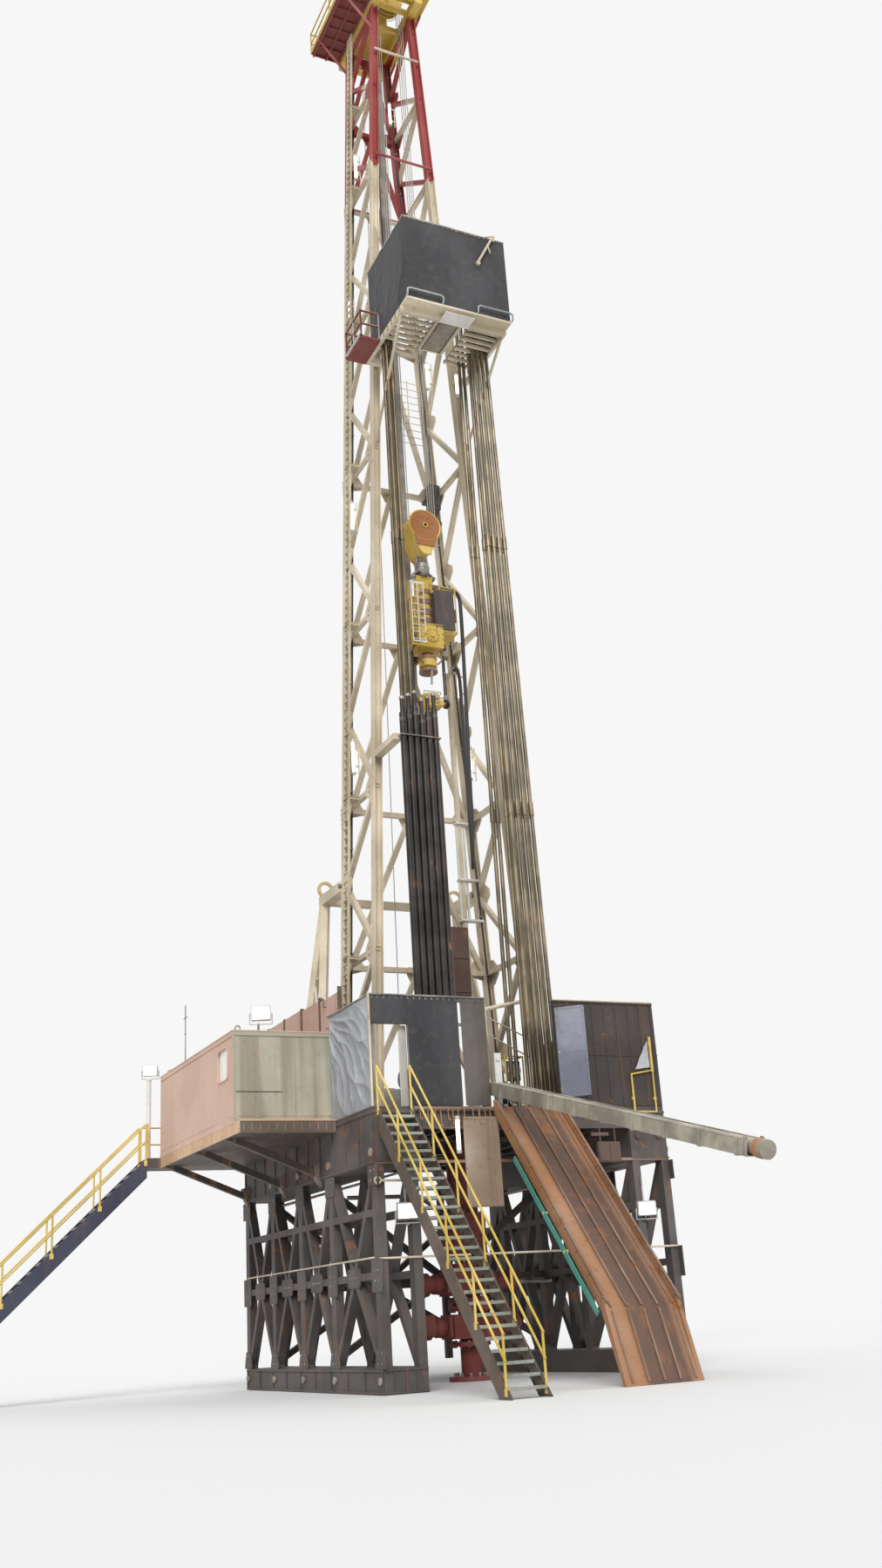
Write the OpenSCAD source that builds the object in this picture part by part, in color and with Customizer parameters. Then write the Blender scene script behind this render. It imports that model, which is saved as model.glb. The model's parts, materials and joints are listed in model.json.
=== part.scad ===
// Land drilling rig at half of its real size.
// The origin is the centre of the well at ground level, +Z up, the V-door faces -Y.

/* [Drill floor] */
// Height of the top of the deck above the ground
floor_h = 3500; // [3300:50:3700]
// Width of the floor from side to side
floor_w = 4500; // [4460:10:4600]
// Distance from the well to the floor's front edge
floor_front = 2150; // [2150:10:2250]
// Distance from the well to the floor's back edge
floor_back = 3300; // [3300:20:3500]
// Thickness of the deck plate
deck_t = 40; // [30:5:60]
// Depth of the beams under the deck
joist_h = 250; // [200:10:300]
// Width of the flanges of those beams
joist_w = 120; // [100:5:150]
// Diameter of the deck's hole for the rotary table
rotary_d = 700; // [640:10:740]
// Diameter of the bore through the rotary table
rotary_bore = 350; // [300:10:400]

/* [Substructure] */
// Width of each side frame
side_w = 600; // [540:10:660]
// Height of the skid box that each side frame stands on
base_h = 300; // [250:10:350]
// Height of the box beam that carries the deck's edge
top_box_h = 700; // [660:10:740]
// Width of the frame's posts
post_w = 160; // [140:5:180]
// Width of the frame's braces
brace_w = 90; // [80:5:110]
// Thickness of each plane of posts and braces
plane_t = 120; // [100:5:140]
// Height above the ground of the lower ring of rails
rail_low_z = 1400; // [1300:20:1500]

/* [Mast] */
// Half the distance between the legs' centre lines at the floor
mast_foot = 1365; // [1345:5:1385]
// Half the distance between the legs' centre lines at the crown
mast_head = 400; // [390:5:440]
// Distance from the well forward to the front legs
leg_front = 210; // [200:5:220]
// Distance from the well back to the rear legs
leg_back = 1070; // [1050:5:1100]
// Outer size of a leg's section
leg_w = 140; // [120:5:150]
// Thickness of a leg's flanges and web
leg_t = 18; // [14:2:24]
// Width of the mast's braces
lace_w = 80; // [70:5:90]
// Height of each of the two bays next to the floor
low_bay = 2650; // [2600:10:2700]
// Height of each of the four middle bays
mid_bay = 3160; // [3120:10:3200]
// Height of each of the two bays under the crown
top_bay = 2040; // [2000:10:2080]

/* [Racking board] */
// Height by which the racked stands reach above the board's fingers
stand_over = 880; // [800:10:960]
// Half the width of the board
board_half = 985; // [980:5:1000]
// Distance from the well to the board's front edge
board_front = 1890; // [1860:10:1930]
// Distance from the well to the first finger
finger_start = 770; // [760:5:800]
// Distance from one finger to the next
finger_pitch = 140; // [135:1:145]
// Number of fingers on each side
finger_n = 8; // [7:1:8]
// Width of a finger
finger_w = 40; // [36:1:44]
// Width of the gangway between the fingers
gangway_w = 490; // [440:10:520]
// Width of the walkway along the board's front edge
walkway_w = 210; // [190:10:260]
// Height of the wind walls above the board
board_wall_h = 1750; // [1600:50:1900]

/* [Pipe stands] */
// Outer diameter of a drill pipe
pipe_d = 64; // [56:1:68]
// Outer diameter of a pipe's joint
joint_d = 82; // [76:1:84]
// Length of one joint of pipe, three of them to a stand
joint_len = 4730; // [4700:10:4760]
// Distance between two stands in a finger slot
stand_pitch = 88; // [88:1:90]
// Distance at the floor between two stands of a row
stand_spread = 142; // [130:2:146]
// Diameter of the drill collars
collar_d = 100; // [90:2:104]
// Length of the drill collars
collar_len = 6300; // [6100:50:6500]
// Distance from one collar to the next
collar_pitch = 110; // [106:1:114]

/* [Hoist] */
// Height of the elevator's underside above the deck
hoist_up = 6850; // [6700:50:7000]
// Distance between the eyes of a link
link_len = 1050; // [1000:10:1100]
// Height of the top drive
drive_h = 1350; // [1300:10:1400]
// Radius of the block's sheaves
sheave_r = 260; // [240:5:270]
// Radius of the drill line
line_r = 8; // [6:1:10]
// Distance from one part of the line to the next
line_pitch = 84; // [80:2:90]
// Running clearance of what slides and turns
clearance = 8; // [7:1:10]
// Depth of the guide track's section
track_d = 96; // [90:2:110]
// Width of the guide track's flanges
track_w = 160; // [150:2:180]

/* [Doghouse] */
// Distance from the well to the doghouse's outer wall
house_left = 3630; // [3600:10:3680]
// Distance from the well to the doghouse's inner wall
house_right = 2095; // [2080:5:2110]
// Distance from the well forward to the doghouse's front wall
house_front = 550; // [500:10:600]
// Distance from the well back to the doghouse's rear wall
house_back = 3315; // [3300:5:3400]
// Height of the doghouse from its floor's underside to its roof
house_h = 1275; // [1240:5:1320]
// Thickness of the doghouse's walls
house_t = 50; // [40:5:60]
// Width of the doghouse's window
window_w = 470; // [400:10:500]
// Height of the doghouse's window
window_h = 450; // [400:10:500]
// Width of the doghouse's doorways
house_door_w = 420; // [380:10:460]
// Height of the doghouse's doorways
house_door_h = 1000; // [960:10:1020]

/* [Stairs and ramp] */
// Width of the stair to the V-door floor
stair_w = 510; // [480:10:560]
// Run of that stair from the floor's edge to the ground
stair_run = 3250; // [3150:50:3350]
// Width of the stair beside the doghouse
side_stair_w = 485; // [440:5:500]
// Run of the stair beside the doghouse
side_stair_run = 3690; // [3600:30:3780]
// Rise of one tread
tread_rise = 125; // [120:5:140]
// Thickness of a stair's side plate
stringer_t = 30; // [24:2:36]
// Height of the handrails
rail_h = 530; // [500:10:560]
// Thickness of the handrails' tubes
rail_t = 24; // [20:1:28]
// Width of the ramp
ramp_w = 1050; // [1000:10:1080]
// Distance of the ramp's middle to the right of the well
ramp_x = 50; // [30:5:60]
// Run of the ramp's long slope
ramp_run = 2400; // [2350:10:2450]
// Height of the bend where the ramp's foot begins
ramp_bend_z = 830; // [780:10:880]
// Run of the ramp's steeper foot
ramp_foot_run = 330; // [300:10:360]
// Thickness of the ramp's plate
ramp_t = 60; // [50:5:80]

/* [Wind walls] */
// Height of the floor's wind walls
wall_h = 1490; // [1440:10:1540]
// Thickness of the wind walls
wall_t = 40; // [30:2:44]
// Height of the doorway at the head of the stair
stair_door_h = 1090; // [1050:10:1150]
// Distance from the well to the right end of the front wall
front_wall_end = 485; // [480:5:500]
// Width of the hinged wing beside the V-door
wing_w = 380; // [340:10:400]
// Angle at which the wing stands open
wing_open = 50; // [40:5:60]

/* [Trough] */
// Length of the pipe trough
trough_len = 5800; // [5600:50:6000]
// Slope of the trough below the level
trough_slope = 15; // [13:1:17]
// Width of the trough's channel
trough_w = 230; // [210:5:250]
// Diameter of the pipe that lies in it
casing_d = 170; // [150:5:180]

/* [Hidden] */

// Gap between curved or moving faces that seat on each other
fit_gap = 0.3;
deck_z = floor_h - deck_t;
box_z = deck_z - top_box_h;
half_w = floor_w / 2;
inner_x = half_w - side_w;
stand_len = 3 * joint_len;
board_z = floor_h + stand_len - stand_over;
levels = [floor_h, floor_h + low_bay,
    for (i = [0:4]) floor_h + 2 * low_bay + i * mid_bay,
    for (i = [1:2]) floor_h + 2 * low_bay + 4 * mid_bay + i * top_bay];
crown_z = levels[8];
mast_slope = (mast_foot - mast_head) / (crown_z - floor_h);
lean = atan(mast_slope);
steel = [0.22, 0.20, 0.19];
cream = [0.86, 0.80, 0.66];
yellow = [0.85, 0.70, 0.13];

// Distance from the well's axis to a leg's centre line at height z
function mast_half(z) = mast_foot - (z - floor_h) * mast_slope;
// Distance along a leg from the floor to height z
function along_lean(z) = (z - floor_h) / cos(lean);

// A box between two opposite corners
module box(a, b) {
    translate([min(a[0], b[0]), min(a[1], b[1]), min(a[2], b[2])])
        cube([abs(b[0] - a[0]), abs(b[1] - a[1]), abs(b[2] - a[2])]);
}

// A flat strip of width w from point a to point b
module strip(a, b, w) {
    d = b - a;
    translate(a) rotate(atan2(d[1], d[0])) translate([0, -w / 2]) square([norm(d), w]);
}

// A square bar of side w from point a to point b
module bar(a, b, w) {
    d = b - a;
    translate(a) rotate([0, acos(d[2] / norm(d)), atan2(d[1], d[0])])
        translate([-w / 2, -w / 2, 0]) cube([w, w, norm(d)]);
}

// A round bar of radius r from point a to point b
module rod(a, b, r) {
    d = b - a;
    translate(a) rotate([0, acos(d[2] / norm(d)), atan2(d[1], d[0])])
        cylinder(h = norm(d), r = r, $fn = 32);
}

// A disc of radius r that is w wide, centred on its axle, which lies along y
module wheel_y(r, w) {
    rotate([90, 0, 0]) cylinder(h = w, r = r, center = true, $fn = 64);
}

// The same with its axle along x
module wheel_x(r, w) {
    rotate([0, 90, 0]) cylinder(h = w, r = r, center = true, $fn = 64);
}

// Stands a drawing of (y, z) up as a slab that is t thick and centred on x
module in_yz(x, t) {
    translate([x, 0, 0]) rotate([90, 0, 90]) linear_extrude(t, center = true) children();
}

// Stands a drawing of (x, z) up as a slab that is t thick and centred on y
module in_xz(y, t) {
    translate([0, y, 0]) rotate([90, 0, 0]) linear_extrude(t, center = true) children();
}

// The outline of an H beam with flanges w wide, d deep and t thick
module h_outline(w, d, t) {
    for (y = [-d / 2, d / 2 - t]) translate([-w / 2, y]) square([w, t]);
    translate([-t / 2, -d / 2]) square([t, d]);
}

// A level handrail with its posts
module rail_drawing(len) {
    n = ceil(len / rail_bay);
    for (i = [0:n]) translate([i * (len - rail_t) / n, 0]) square([rail_t, rail_h]);
    for (k = [0.5, 1]) translate([0, k * rail_h - rail_t]) square([len, rail_t]);
}
rail_bay = 1100;

// Substructure

post_y = [-floor_front + post_w / 2, -500,
    for (i = [1:3]) -500 + i * (floor_back - post_w / 2 + 500) / 3];
rail_high_z = (rail_low_z + box_z) / 2 + brace_w;

module skid_boxes() {
    color("dimgray") for (s = [-1, 1])
        box([s * inner_x, -floor_front, 0], [s * half_w, floor_back, base_h]);
}

module frame_drawing() {
    for (y = post_y) translate([y - post_w / 2, base_h]) square([post_w, box_z - base_h]);
    for (z = [rail_low_z, rail_high_z]) strip([post_y[0], z], [post_y[4], z], brace_w);
    for (i = [0:3]) {
        mid = (post_y[i] + post_y[i + 1]) / 2;
        for (y = [post_y[i], post_y[i + 1]]) for (z = [base_h, box_z])
            strip([y, z], [mid, rail_low_z], brace_w);
    }
}

module side_frame(s) {
    color(steel) {
        box([s * inner_x, -floor_front, box_z], [s * half_w, floor_back, deck_z]);
        for (x = [inner_x + plane_t / 2, half_w - plane_t / 2])
            in_yz(s * x, plane_t) intersection() {
                frame_drawing();
                translate([-floor_front, base_h])
                    square([floor_front + floor_back, box_z - base_h]);
            }
    }
}

module cross_bracing() {
    color(steel) for (y = [post_y[2], post_y[4]]) in_xz(y, brace_w) intersection() {
        union() {
            strip([-inner_x, rail_low_z], [inner_x, rail_low_z], brace_w);
            strip([0, base_h], [0, box_z], brace_w);
            for (s = [-1, 1]) for (z = [base_h + brace_w, box_z - brace_w])
                strip([s * (inner_x + brace_w), z], [0, rail_low_z], brace_w);
        }
        translate([-inner_x, base_h]) square([2 * inner_x, box_z - base_h]);
    }
}

joist_t = 20;
joist_y = [-floor_front + joist_w / 2, -rotary_d - joist_w, rotary_d + joist_w,
    leg_back + joist_w, (leg_back + floor_back) / 2 + joist_w, floor_back - joist_w / 2];

module floor_frame() {
    color(steel) union() {
        for (y = joist_y) translate([0, y, deck_z - joist_h / 2]) rotate([90, 0, 90])
            linear_extrude(2 * inner_x, center = true) h_outline(joist_w, joist_h, joist_t);
        for (s = [-1, 1])
            box([s * (rotary_d / 2 + joist_w), joist_y[0], deck_z - joist_h],
                [s * (rotary_d / 2 + joist_w + joist_t), joist_y[5], deck_z]);
    }
}

// The deck, with the bracket that carries the trough's pin
module drill_floor() {
    color([0.30, 0.27, 0.24]) {
        difference() {
            box([-half_w, -floor_front, deck_z], [half_w, floor_back, floor_h]);
            translate([0, 0, deck_z - 1]) cylinder(h = deck_t + 2, d = rotary_d, $fn = 64);
        }
        for (s = [-1, 1]) {
            x = trough_x + s * (trough_w / 2 + clearance);
            box([x, pivot_y - lug_r, floor_h - 1], [x + s * lug_t, pivot_y + lug_r, pivot_z + lug_r]);
        }
        translate([trough_x, pivot_y, pivot_z])
            wheel_x(pin_r, trough_w + 2 * (clearance + lug_t) + 20);
    }
}

rotary_z = deck_z - 60;

module rotary_table() {
    color([0.35, 0.33, 0.30]) difference() {
        union() {
            translate([0, 0, floor_h]) cylinder(h = 50, d = rotary_d + 160, $fn = 64);
            translate([0, 0, rotary_z])
                cylinder(h = floor_h - rotary_z + 1, d = rotary_d - 2 * fit_gap, $fn = 64);
        }
        translate([0, 0, rotary_z - 1]) cylinder(h = 300, d = rotary_bore, $fn = 48);
    }
}

// The wellhead, its two ram preventers, the round one on top and the nipple up to the table
flange_r = 290;
flange_h = 60;
spool_r = 150;
ram_z = [560, 1140];
ram_h = 330;
ram_x = 340;
ram_y = 230;
bonnet_r = 120;
bonnet_x = 750;
cap_r = 160;
cap_t = 120;
round_z = 1620;
round_h = 640;
nipple_r = 200;

module wellhead() {
    color([0.55, 0.16, 0.12]) {
        cylinder(h = flange_h, r = flange_r + 40, $fn = 48);
        cylinder(h = round_z + 1, r = spool_r, $fn = 48);
        for (z = ram_z) translate([0, 0, z]) {
            for (k = [-100, ram_h + 40]) translate([0, 0, k]) cylinder(h = flange_h, r = flange_r, $fn = 48);
            box([-ram_x, -ram_y, 0], [ram_x, ram_y, ram_h]);
            translate([0, 0, ram_h / 2]) {
                wheel_x(bonnet_r, 2 * bonnet_x);
                for (s = [-1, 1]) translate([s * (bonnet_x - cap_t / 2), 0, 0]) wheel_x(cap_r, cap_t);
            }
        }
        translate([0, 0, round_z]) cylinder(h = round_h, r = flange_r + 40, $fn = 48);
        translate([0, 0, round_z + round_h - 1]) cylinder(h = flange_h + 30, r = nipple_r + 30, $fn = 48);
        translate([0, 0, round_z + round_h])
            cylinder(h = rotary_z - round_z - round_h, r = nipple_r, $fn = 48);
    }
}

// Mast

leg_in = leg_w / 2 / cos(lean);

// Places what is drawn on the floor's plane at the foot of one side, leaning as the legs do
module lean_frame(s) {
    mirror([s < 0 ? 0 : 1, 0, 0])
        translate([-mast_foot, 0, floor_h]) rotate([0, lean, 0]) children();
}

// All that lies between two heights
module between(z0, z1) {
    box([-half_w, -floor_back, z0], [half_w, floor_back, z1]);
}

module side_lattice(first, last) {
    for (y = [-leg_front, leg_back]) translate([0, y, along_lean(levels[first]) - 100])
        linear_extrude(along_lean(levels[last]) - along_lean(levels[first]) + 200)
            rotate(90) h_outline(leg_w, leg_w, leg_t);
    in_yz(0, lace_w) {
        for (i = [first:last])
            strip([-leg_front, along_lean(levels[i])], [leg_back, along_lean(levels[i])], lace_w);
        for (i = [first:last - 1]) {
            low = along_lean(levels[i]);
            high = along_lean(levels[i + 1]);
            for (s = [low, high]) strip([-leg_front, s], [leg_back, (low + high) / 2], lace_w);
        }
    }
}

module mast_side(s, first, last) {
    intersection() {
        lean_frame(s) side_lattice(first, last);
        between(levels[first], levels[last]);
    }
}

module rear_drawing(first, last, edge) {
    for (i = [first:last])
        strip([-mast_foot, levels[i]], [mast_foot, levels[i]], lace_w);
    for (i = [first:last - 1]) for (s = [-1, 1])
        strip([s * (mast_half(levels[i]) - edge), levels[i]], [0, levels[i + 1]], lace_w);
}

// The rear bracing, cut to fit between the faces that are edge away from the legs' centre lines
module mast_rear(first, last, edge) {
    z0 = levels[first];
    z1 = levels[last];
    in_xz(leg_back, lace_w) intersection() {
        rear_drawing(first, last, edge);
        polygon([[-mast_half(z0) + edge, z0], [mast_half(z0) - edge, z0],
            [mast_half(z1) - edge, z1], [-mast_half(z1) + edge, z1]]);
    }
}

module mast_top() {
    color([0.55, 0.10, 0.09]) {
        for (s = [-1, 1]) mast_side(s, 6, 8);
        mast_rear(6, 8, 0);
    }
}

ladder_y = 450;
ladder_w = 230;
ladder_t = 30;
ladder_gap = 150;
rung_pitch = 150;
rung_h = 24;

module mast_ladder() {
    top = along_lean(crown_z) - 100;
    color([0.75, 0.68, 0.50]) lean_frame(-1) {
        in_yz(-lace_w / 2 - ladder_gap - ladder_t / 2, ladder_t) {
            for (y = [0, ladder_w - ladder_t]) translate([ladder_y + y, rung_pitch])
                square([ladder_t, top - rung_pitch]);
            for (k = [1:floor(top / rung_pitch)])
                translate([ladder_y, k * rung_pitch]) square([ladder_w, rung_h]);
        }
        for (i = [1:7]) translate([-lace_w / 2 - ladder_gap - 1, ladder_y, along_lean(levels[i]) - 20])
            cube([ladder_gap + 1, ladder_w, 40]);
    }
}

// The frame behind the mast that it is raised on
aframe_foot_x = 1650;
aframe_head = [1200, 2000];
aframe_up = 4100;
head_z = floor_h + aframe_up;
aframe_feet = [1450, 2700];
aframe_w = 120;
cap_half = 90;
cap_h = 170;
ring_r = 140;
ring_hole_r = 95;
ring_t = 50;

module a_frame() {
    color(cream) {
        for (s = [-1, 1]) {
            intersection() {
                for (y = aframe_feet) bar([s * aframe_foot_x, y, floor_h - aframe_w],
                    [s * aframe_head[0], aframe_head[1], head_z], aframe_w);
                box([-half_w, 0, floor_h], [half_w, floor_back, head_z - aframe_w]);
            }
            box([s * (aframe_head[0] - cap_half), leg_back + leg_w / 2, head_z - cap_h],
                [s * (aframe_head[0] + cap_half), aframe_head[1] + cap_half, head_z]);
            translate([s * aframe_head[0], aframe_head[1], head_z + ring_r - 30]) difference() {
                wheel_y(ring_r, ring_t);
                wheel_y(ring_hole_r, ring_t + 10);
            }
        }
        box([-aframe_head[0], aframe_head[1] - aframe_w / 2, head_z - cap_h + 10],
            [aframe_head[0], aframe_head[1] + aframe_w / 2, head_z - cap_h + 130]);
    }
}

// The cabinet on the rear bracing
cabinet_x = [400, 770];
cabinet_z = [5700, 6830];
cabinet_d = 310;

module mast_cabinet() {
    back = leg_back - lace_w / 2;
    color([0.30, 0.19, 0.15])
        box([cabinet_x[0], back - cabinet_d, cabinet_z[0]], [cabinet_x[1], back, cabinet_z[1]]);
}

drum_y = 2300;
drum_r = 330;
drum_up = 620;
drum_half = 560;
skid = [900, 550];
cheek_x = [640, 780];

// The drum and its brake discs between two housings on a skid
module drawworks() {
    color([0.30, 0.32, 0.34]) {
        box([-skid[0], drum_y - skid[1], floor_h], [skid[0], drum_y + skid[1], floor_h + 120]);
        for (s = [-1, 1]) box([s * cheek_x[0], drum_y - skid[1] + 100, floor_h + 119],
            [s * cheek_x[1], drum_y + skid[1] - 100, floor_h + 1000]);
        translate([0, drum_y, floor_h + drum_up]) {
            wheel_x(drum_r, 2 * cheek_x[0] + 20);
            for (s = [-1, 1]) translate([s * drum_half, 0, 0]) wheel_x(drum_r + 110, 60);
        }
    }
}

module fast_line() {
    color("silver") rod([0, fast_y + line_r + fit_gap, sheave_z],
        [0, drum_y - drum_r - line_r - fit_gap, floor_h + drum_up], line_r);
}

// Crown

crown_beam_h = 200;
crown_beam_w = 160;
crown_tie_w = 60;
crown_left = 1100;
crown_right = 650;
crown_front = 650;
crown_back = 1500;
sheave_z = crown_z + crown_beam_h + sheave_r + 50;
sheave_w = 50;
fast_y = 1350;
crown_hole = [420, 380];
crown_ties = [-crown_front, -280, 220, 1000, crown_back - crown_tie_w];
crown_plate_t = 20;

// A sheave on its axle along y, with a groove round its rim
module sheave() {
    rotate([90, 0, 0]) rotate_extrude($fn = 64) polygon([[0, -sheave_w / 2], [sheave_r, -sheave_w / 2],
        [groove_r, -line_r - 1], [groove_r, line_r + 1], [sheave_r, sheave_w / 2], [0, sheave_w / 2]]);
}
groove_r = sheave_r - 18;

module crown_frame() {
    deck = crown_z + crown_beam_h;
    color([0.84, 0.74, 0.25]) {
        for (s = [-1, 1]) box([s * (mast_head - crown_beam_w / 2), -crown_front, crown_z],
            [s * (mast_head + crown_beam_w / 2), crown_back, deck]);
        for (y = crown_ties) box([-mast_head, y, crown_z + 40], [mast_head, y + crown_tie_w, deck - 40]);
        difference() {
            box([-crown_left, -crown_front, deck - 1], [crown_right, crown_back, deck + crown_plate_t]);
            box([-crown_hole[0], -crown_hole[1], deck - 2], [crown_hole[0], crown_hole[1], deck + 30]);
            box([-100, crown_ties[3] + crown_tie_w, deck - 2], [100, fast_y + 60, deck + 30]);
        }
        translate([0, 0, deck + crown_plate_t - 1]) {
            for (y = [-crown_front + rail_t / 2, crown_back - rail_t / 2])
                in_xz(y, rail_t) translate([-crown_left, 0]) rail_drawing(crown_left + crown_right);
            for (x = [-crown_left + rail_t / 2, crown_right - rail_t / 2])
                in_yz(x, rail_t) translate([-crown_front, 0]) rail_drawing(crown_front + crown_back);
        }
    }
}

module crown_sheaves() {
    deck = crown_z + crown_beam_h;
    color([0.80, 0.66, 0.12]) {
        for (y = [-bearing_y, bearing_y]) box([-90, y - 20, deck - 40], [90, y + 20, sheave_z + 60]);
        translate([0, 0, sheave_z]) {
            wheel_y(50, 2 * bearing_y + 40);
            for (i = [0:3]) translate([0, (i - 1.5) * line_pitch, 0]) sheave();
        }
        for (s = [-1, 1]) box([s * 35, crown_ties[3], deck + crown_plate_t],
            [s * 55, fast_y - groove_r + 60, sheave_z + 60]);
        translate([0, fast_y - groove_r, sheave_z]) {
            rotate(90) sheave();
            wheel_x(40, 110);
        }
    }
}
bearing_y = 250;

// Racking board

board_t = 120;
beam_w = 50;
board_in = board_half - beam_w;
finger_tip = gangway_w / 2 + 90;
outer_y = board_front + walkway_w;

// The side beams, front beam, walkway and gangway
module board_frame() {
    back_y = -leg_front - leg_w / 2;
    leg_x = mast_half(board_z);
    color(cream) {
        for (s = [-1, 1]) {
            box([s * board_in, -board_front, board_z - board_t / 2],
                [s * board_half, back_y, board_z + board_t / 2]);
            box([s * (leg_x - leg_w / 2), back_y - 2 * beam_w, board_z - board_t / 2],
                [s * (board_in + 1), back_y, board_z + board_t / 2]);
        }
        box([-board_half, -board_front, board_z - board_t / 2],
            [board_half, -board_front + 80, board_z + board_t / 2]);
        box([-board_half, -outer_y, board_z + 20],
            [board_half, -board_front + 1, board_z + board_t / 2]);
        box([-gangway_w / 2, -board_front - 60, board_z + board_t / 2 - 1],
            [gangway_w / 2, -850, board_z + board_t / 2 + 40]);
    }
}

module board_fingers() {
    first_y = -finger_start;
    color([0.86, 0.80, 0.55]) for (s = [-1, 1]) {
        for (i = [0:finger_n - 1]) translate([0, first_y - i * finger_pitch, 0])
            box([s * finger_tip, -finger_w / 2, board_z - 30],
                [s * board_in, finger_w / 2, board_z + 30]);
    }
}

board_wall_back = 500;

module board_walls() {
    z0 = board_z + board_t / 2;
    z1 = board_z + board_wall_h;
    color([0.10, 0.10, 0.12]) {
        box([-board_half, -outer_y, z0], [board_half, -outer_y + wall_t, z1]);
        for (s = [-1, 1]) box([s * board_half, -outer_y, z0],
            [s * (board_half - wall_t), -board_wall_back, z1]);
    }
}

basket_left = 1350;
basket_y = [-950, -250];

module side_basket() {
    right = board_half;
    color([0.55, 0.15, 0.12]) {
        box([-basket_left, basket_y[0], board_z - 40], [-right, basket_y[1], board_z]);
        translate([0, 0, board_z - 1]) {
            for (y = [basket_y[0] + rail_t / 2, basket_y[1] - rail_t / 2])
                in_xz(y, rail_t) translate([-basket_left, 0]) rail_drawing(basket_left - right);
            in_yz(-basket_left + rail_t / 2, rail_t) translate([basket_y[0], 0])
                rail_drawing(basket_y[1] - basket_y[0]);
        }
    }
}

// Stands of drill pipe

upset_len = 110;

// One stand, from its foot on the floor through its place among the fingers
module stand(foot, slot) {
    d = slot - foot;
    tilt = acos(d[2] / norm(d));
    translate(foot + [0, 0, joint_d / 2 * sin(tilt) + fit_gap])
        rotate([0, tilt, atan2(d[1], d[0])]) rotate_extrude($fn = 24) polygon([
            [0, 0],
            for (k = [0:2]) each [
                [joint_d / 2, k == 0 ? 0 : k * joint_len - upset_len],
                [joint_d / 2, k * joint_len + upset_len],
                [pipe_d / 2, k * joint_len + upset_len],
                [pipe_d / 2, (k + 1) * joint_len - upset_len]],
            [joint_d / 2, stand_len - upset_len], [joint_d / 2, stand_len], [0, stand_len]]);
}

// A row of stands in finger slot j on side s, whose first one is foot_x out at the floor
// and slot_x out among the fingers
module stand_row(s, j, columns, foot_x, slot_x, spread) {
    y = -finger_start - (j + 0.5) * finger_pitch;
    for (i = [0:columns - 1]) stand([s * (foot_x + i * spread), y, floor_h],
        [s * (slot_x + i * stand_pitch), y, board_z]);
}
// The distance out of the first stand of a row at the floor, then among the fingers
left_row = [810, 805];
right_near = [540, 575];
right_far = [660, 635];
close_spread = 96;

module left_stands() {
    color([0.30, 0.25, 0.16]) for (j = [0, 1]) stand_row(-1, j, 2, left_row[0], left_row[1], close_spread);
}

module right_stands() {
    color([0.62, 0.60, 0.54]) {
        stand_row(1, 0, 2, right_near[0], right_near[1], close_spread);
        for (j = [2, 3]) stand_row(1, j, 4, right_far[0], right_far[1], stand_spread);
    }
}

// The collars stand in one row in front of the left bank and lean on a rack
collar_x = 490;
collar_y = -1120;
collar_n = 6;
collar_step = 60;
neck_len = 260;
rack_z = floor_h + collar_len - 500;
rack_h = 100;
rack_w = 35;

module collars() {
    color([0.22, 0.19, 0.15]) for (i = [0:collar_n - 1])
        translate([-collar_x - i * collar_pitch, collar_y, floor_h]) {
            body = collar_len - collar_step * (i % 3);
            cylinder(h = body, d = collar_d, $fn = 32);
            translate([0, 0, body - 1]) cylinder(h = neck_len, d = pipe_d, $fn = 24);
        }
}

// The bar behind the collars and the arm that holds it to the left front leg
module collar_rack() {
    x = mast_half(rack_z);
    front = collar_y + collar_d / 2 + fit_gap;
    color(cream) {
        box([-x - leg_w / 2, front, rack_z - rack_h / 2],
            [-x + leg_w / 2, -leg_front - leg_w / 2, rack_z + rack_h / 2]);
        box([-x, front, rack_z - rack_h / 2],
            [-collar_x + collar_d / 2, front + rack_w, rack_z + rack_h / 2]);
    }
}

// Hoist

elevator_z = floor_h + hoist_up;
elevator_h = 220;
eye_x = 290;
eye_r = 75;
eye_w = 50;
pin_r = 30;
ear_z = elevator_z + elevator_h / 2 + link_len;
drive_z = ear_z - 120;
drive_top = drive_z + drive_h;
hook_h = 420;
block_z = drive_top + hook_h;
block_r = sheave_r + 45;
block_low_r = 130;
block_sheave_z = block_z + block_low_r + 430;
track_y = 620;
track_t = 16;
track_z = [floor_h + 700, crown_z - 900];

module guide_track() {
    color([0.80, 0.78, 0.70]) {
        translate([0, track_y + track_d / 2, track_z[0]])
            linear_extrude(track_z[1] - track_z[0]) h_outline(track_w, track_d, track_t);
        for (i = [1:7]) box([-40, track_y + track_d - 1, levels[i] - 35],
            [40, leg_back - lace_w / 2, levels[i] + 35]);
    }
}

module drill_lines() {
    x = groove_r + line_r + fit_gap;
    color("silver") for (s = [-1, 1]) for (i = [0:3])
        rod([s * x, (i - 1.5) * line_pitch, block_sheave_z],
            [s * x, (i - 1.5) * line_pitch, sheave_z], line_r);
}

// The outline round a big circle and a small one that lies d below it
module tapered_outline(big, small, d) {
    a = asin((big - small) / d);
    over = (180 + 2 * a) / 30;
    under = (180 - 2 * a) / 16;
    polygon([for (i = [0:30]) big * [cos(i * over - a), sin(i * over - a)],
        for (i = [0:16]) [0, -d] + small * [cos(180 + a + i * under), sin(180 + a + i * under)]]);
}

cheek_t = 30;
cheek_y = 2 * line_pitch + 20;
guard_t = 20;

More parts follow.
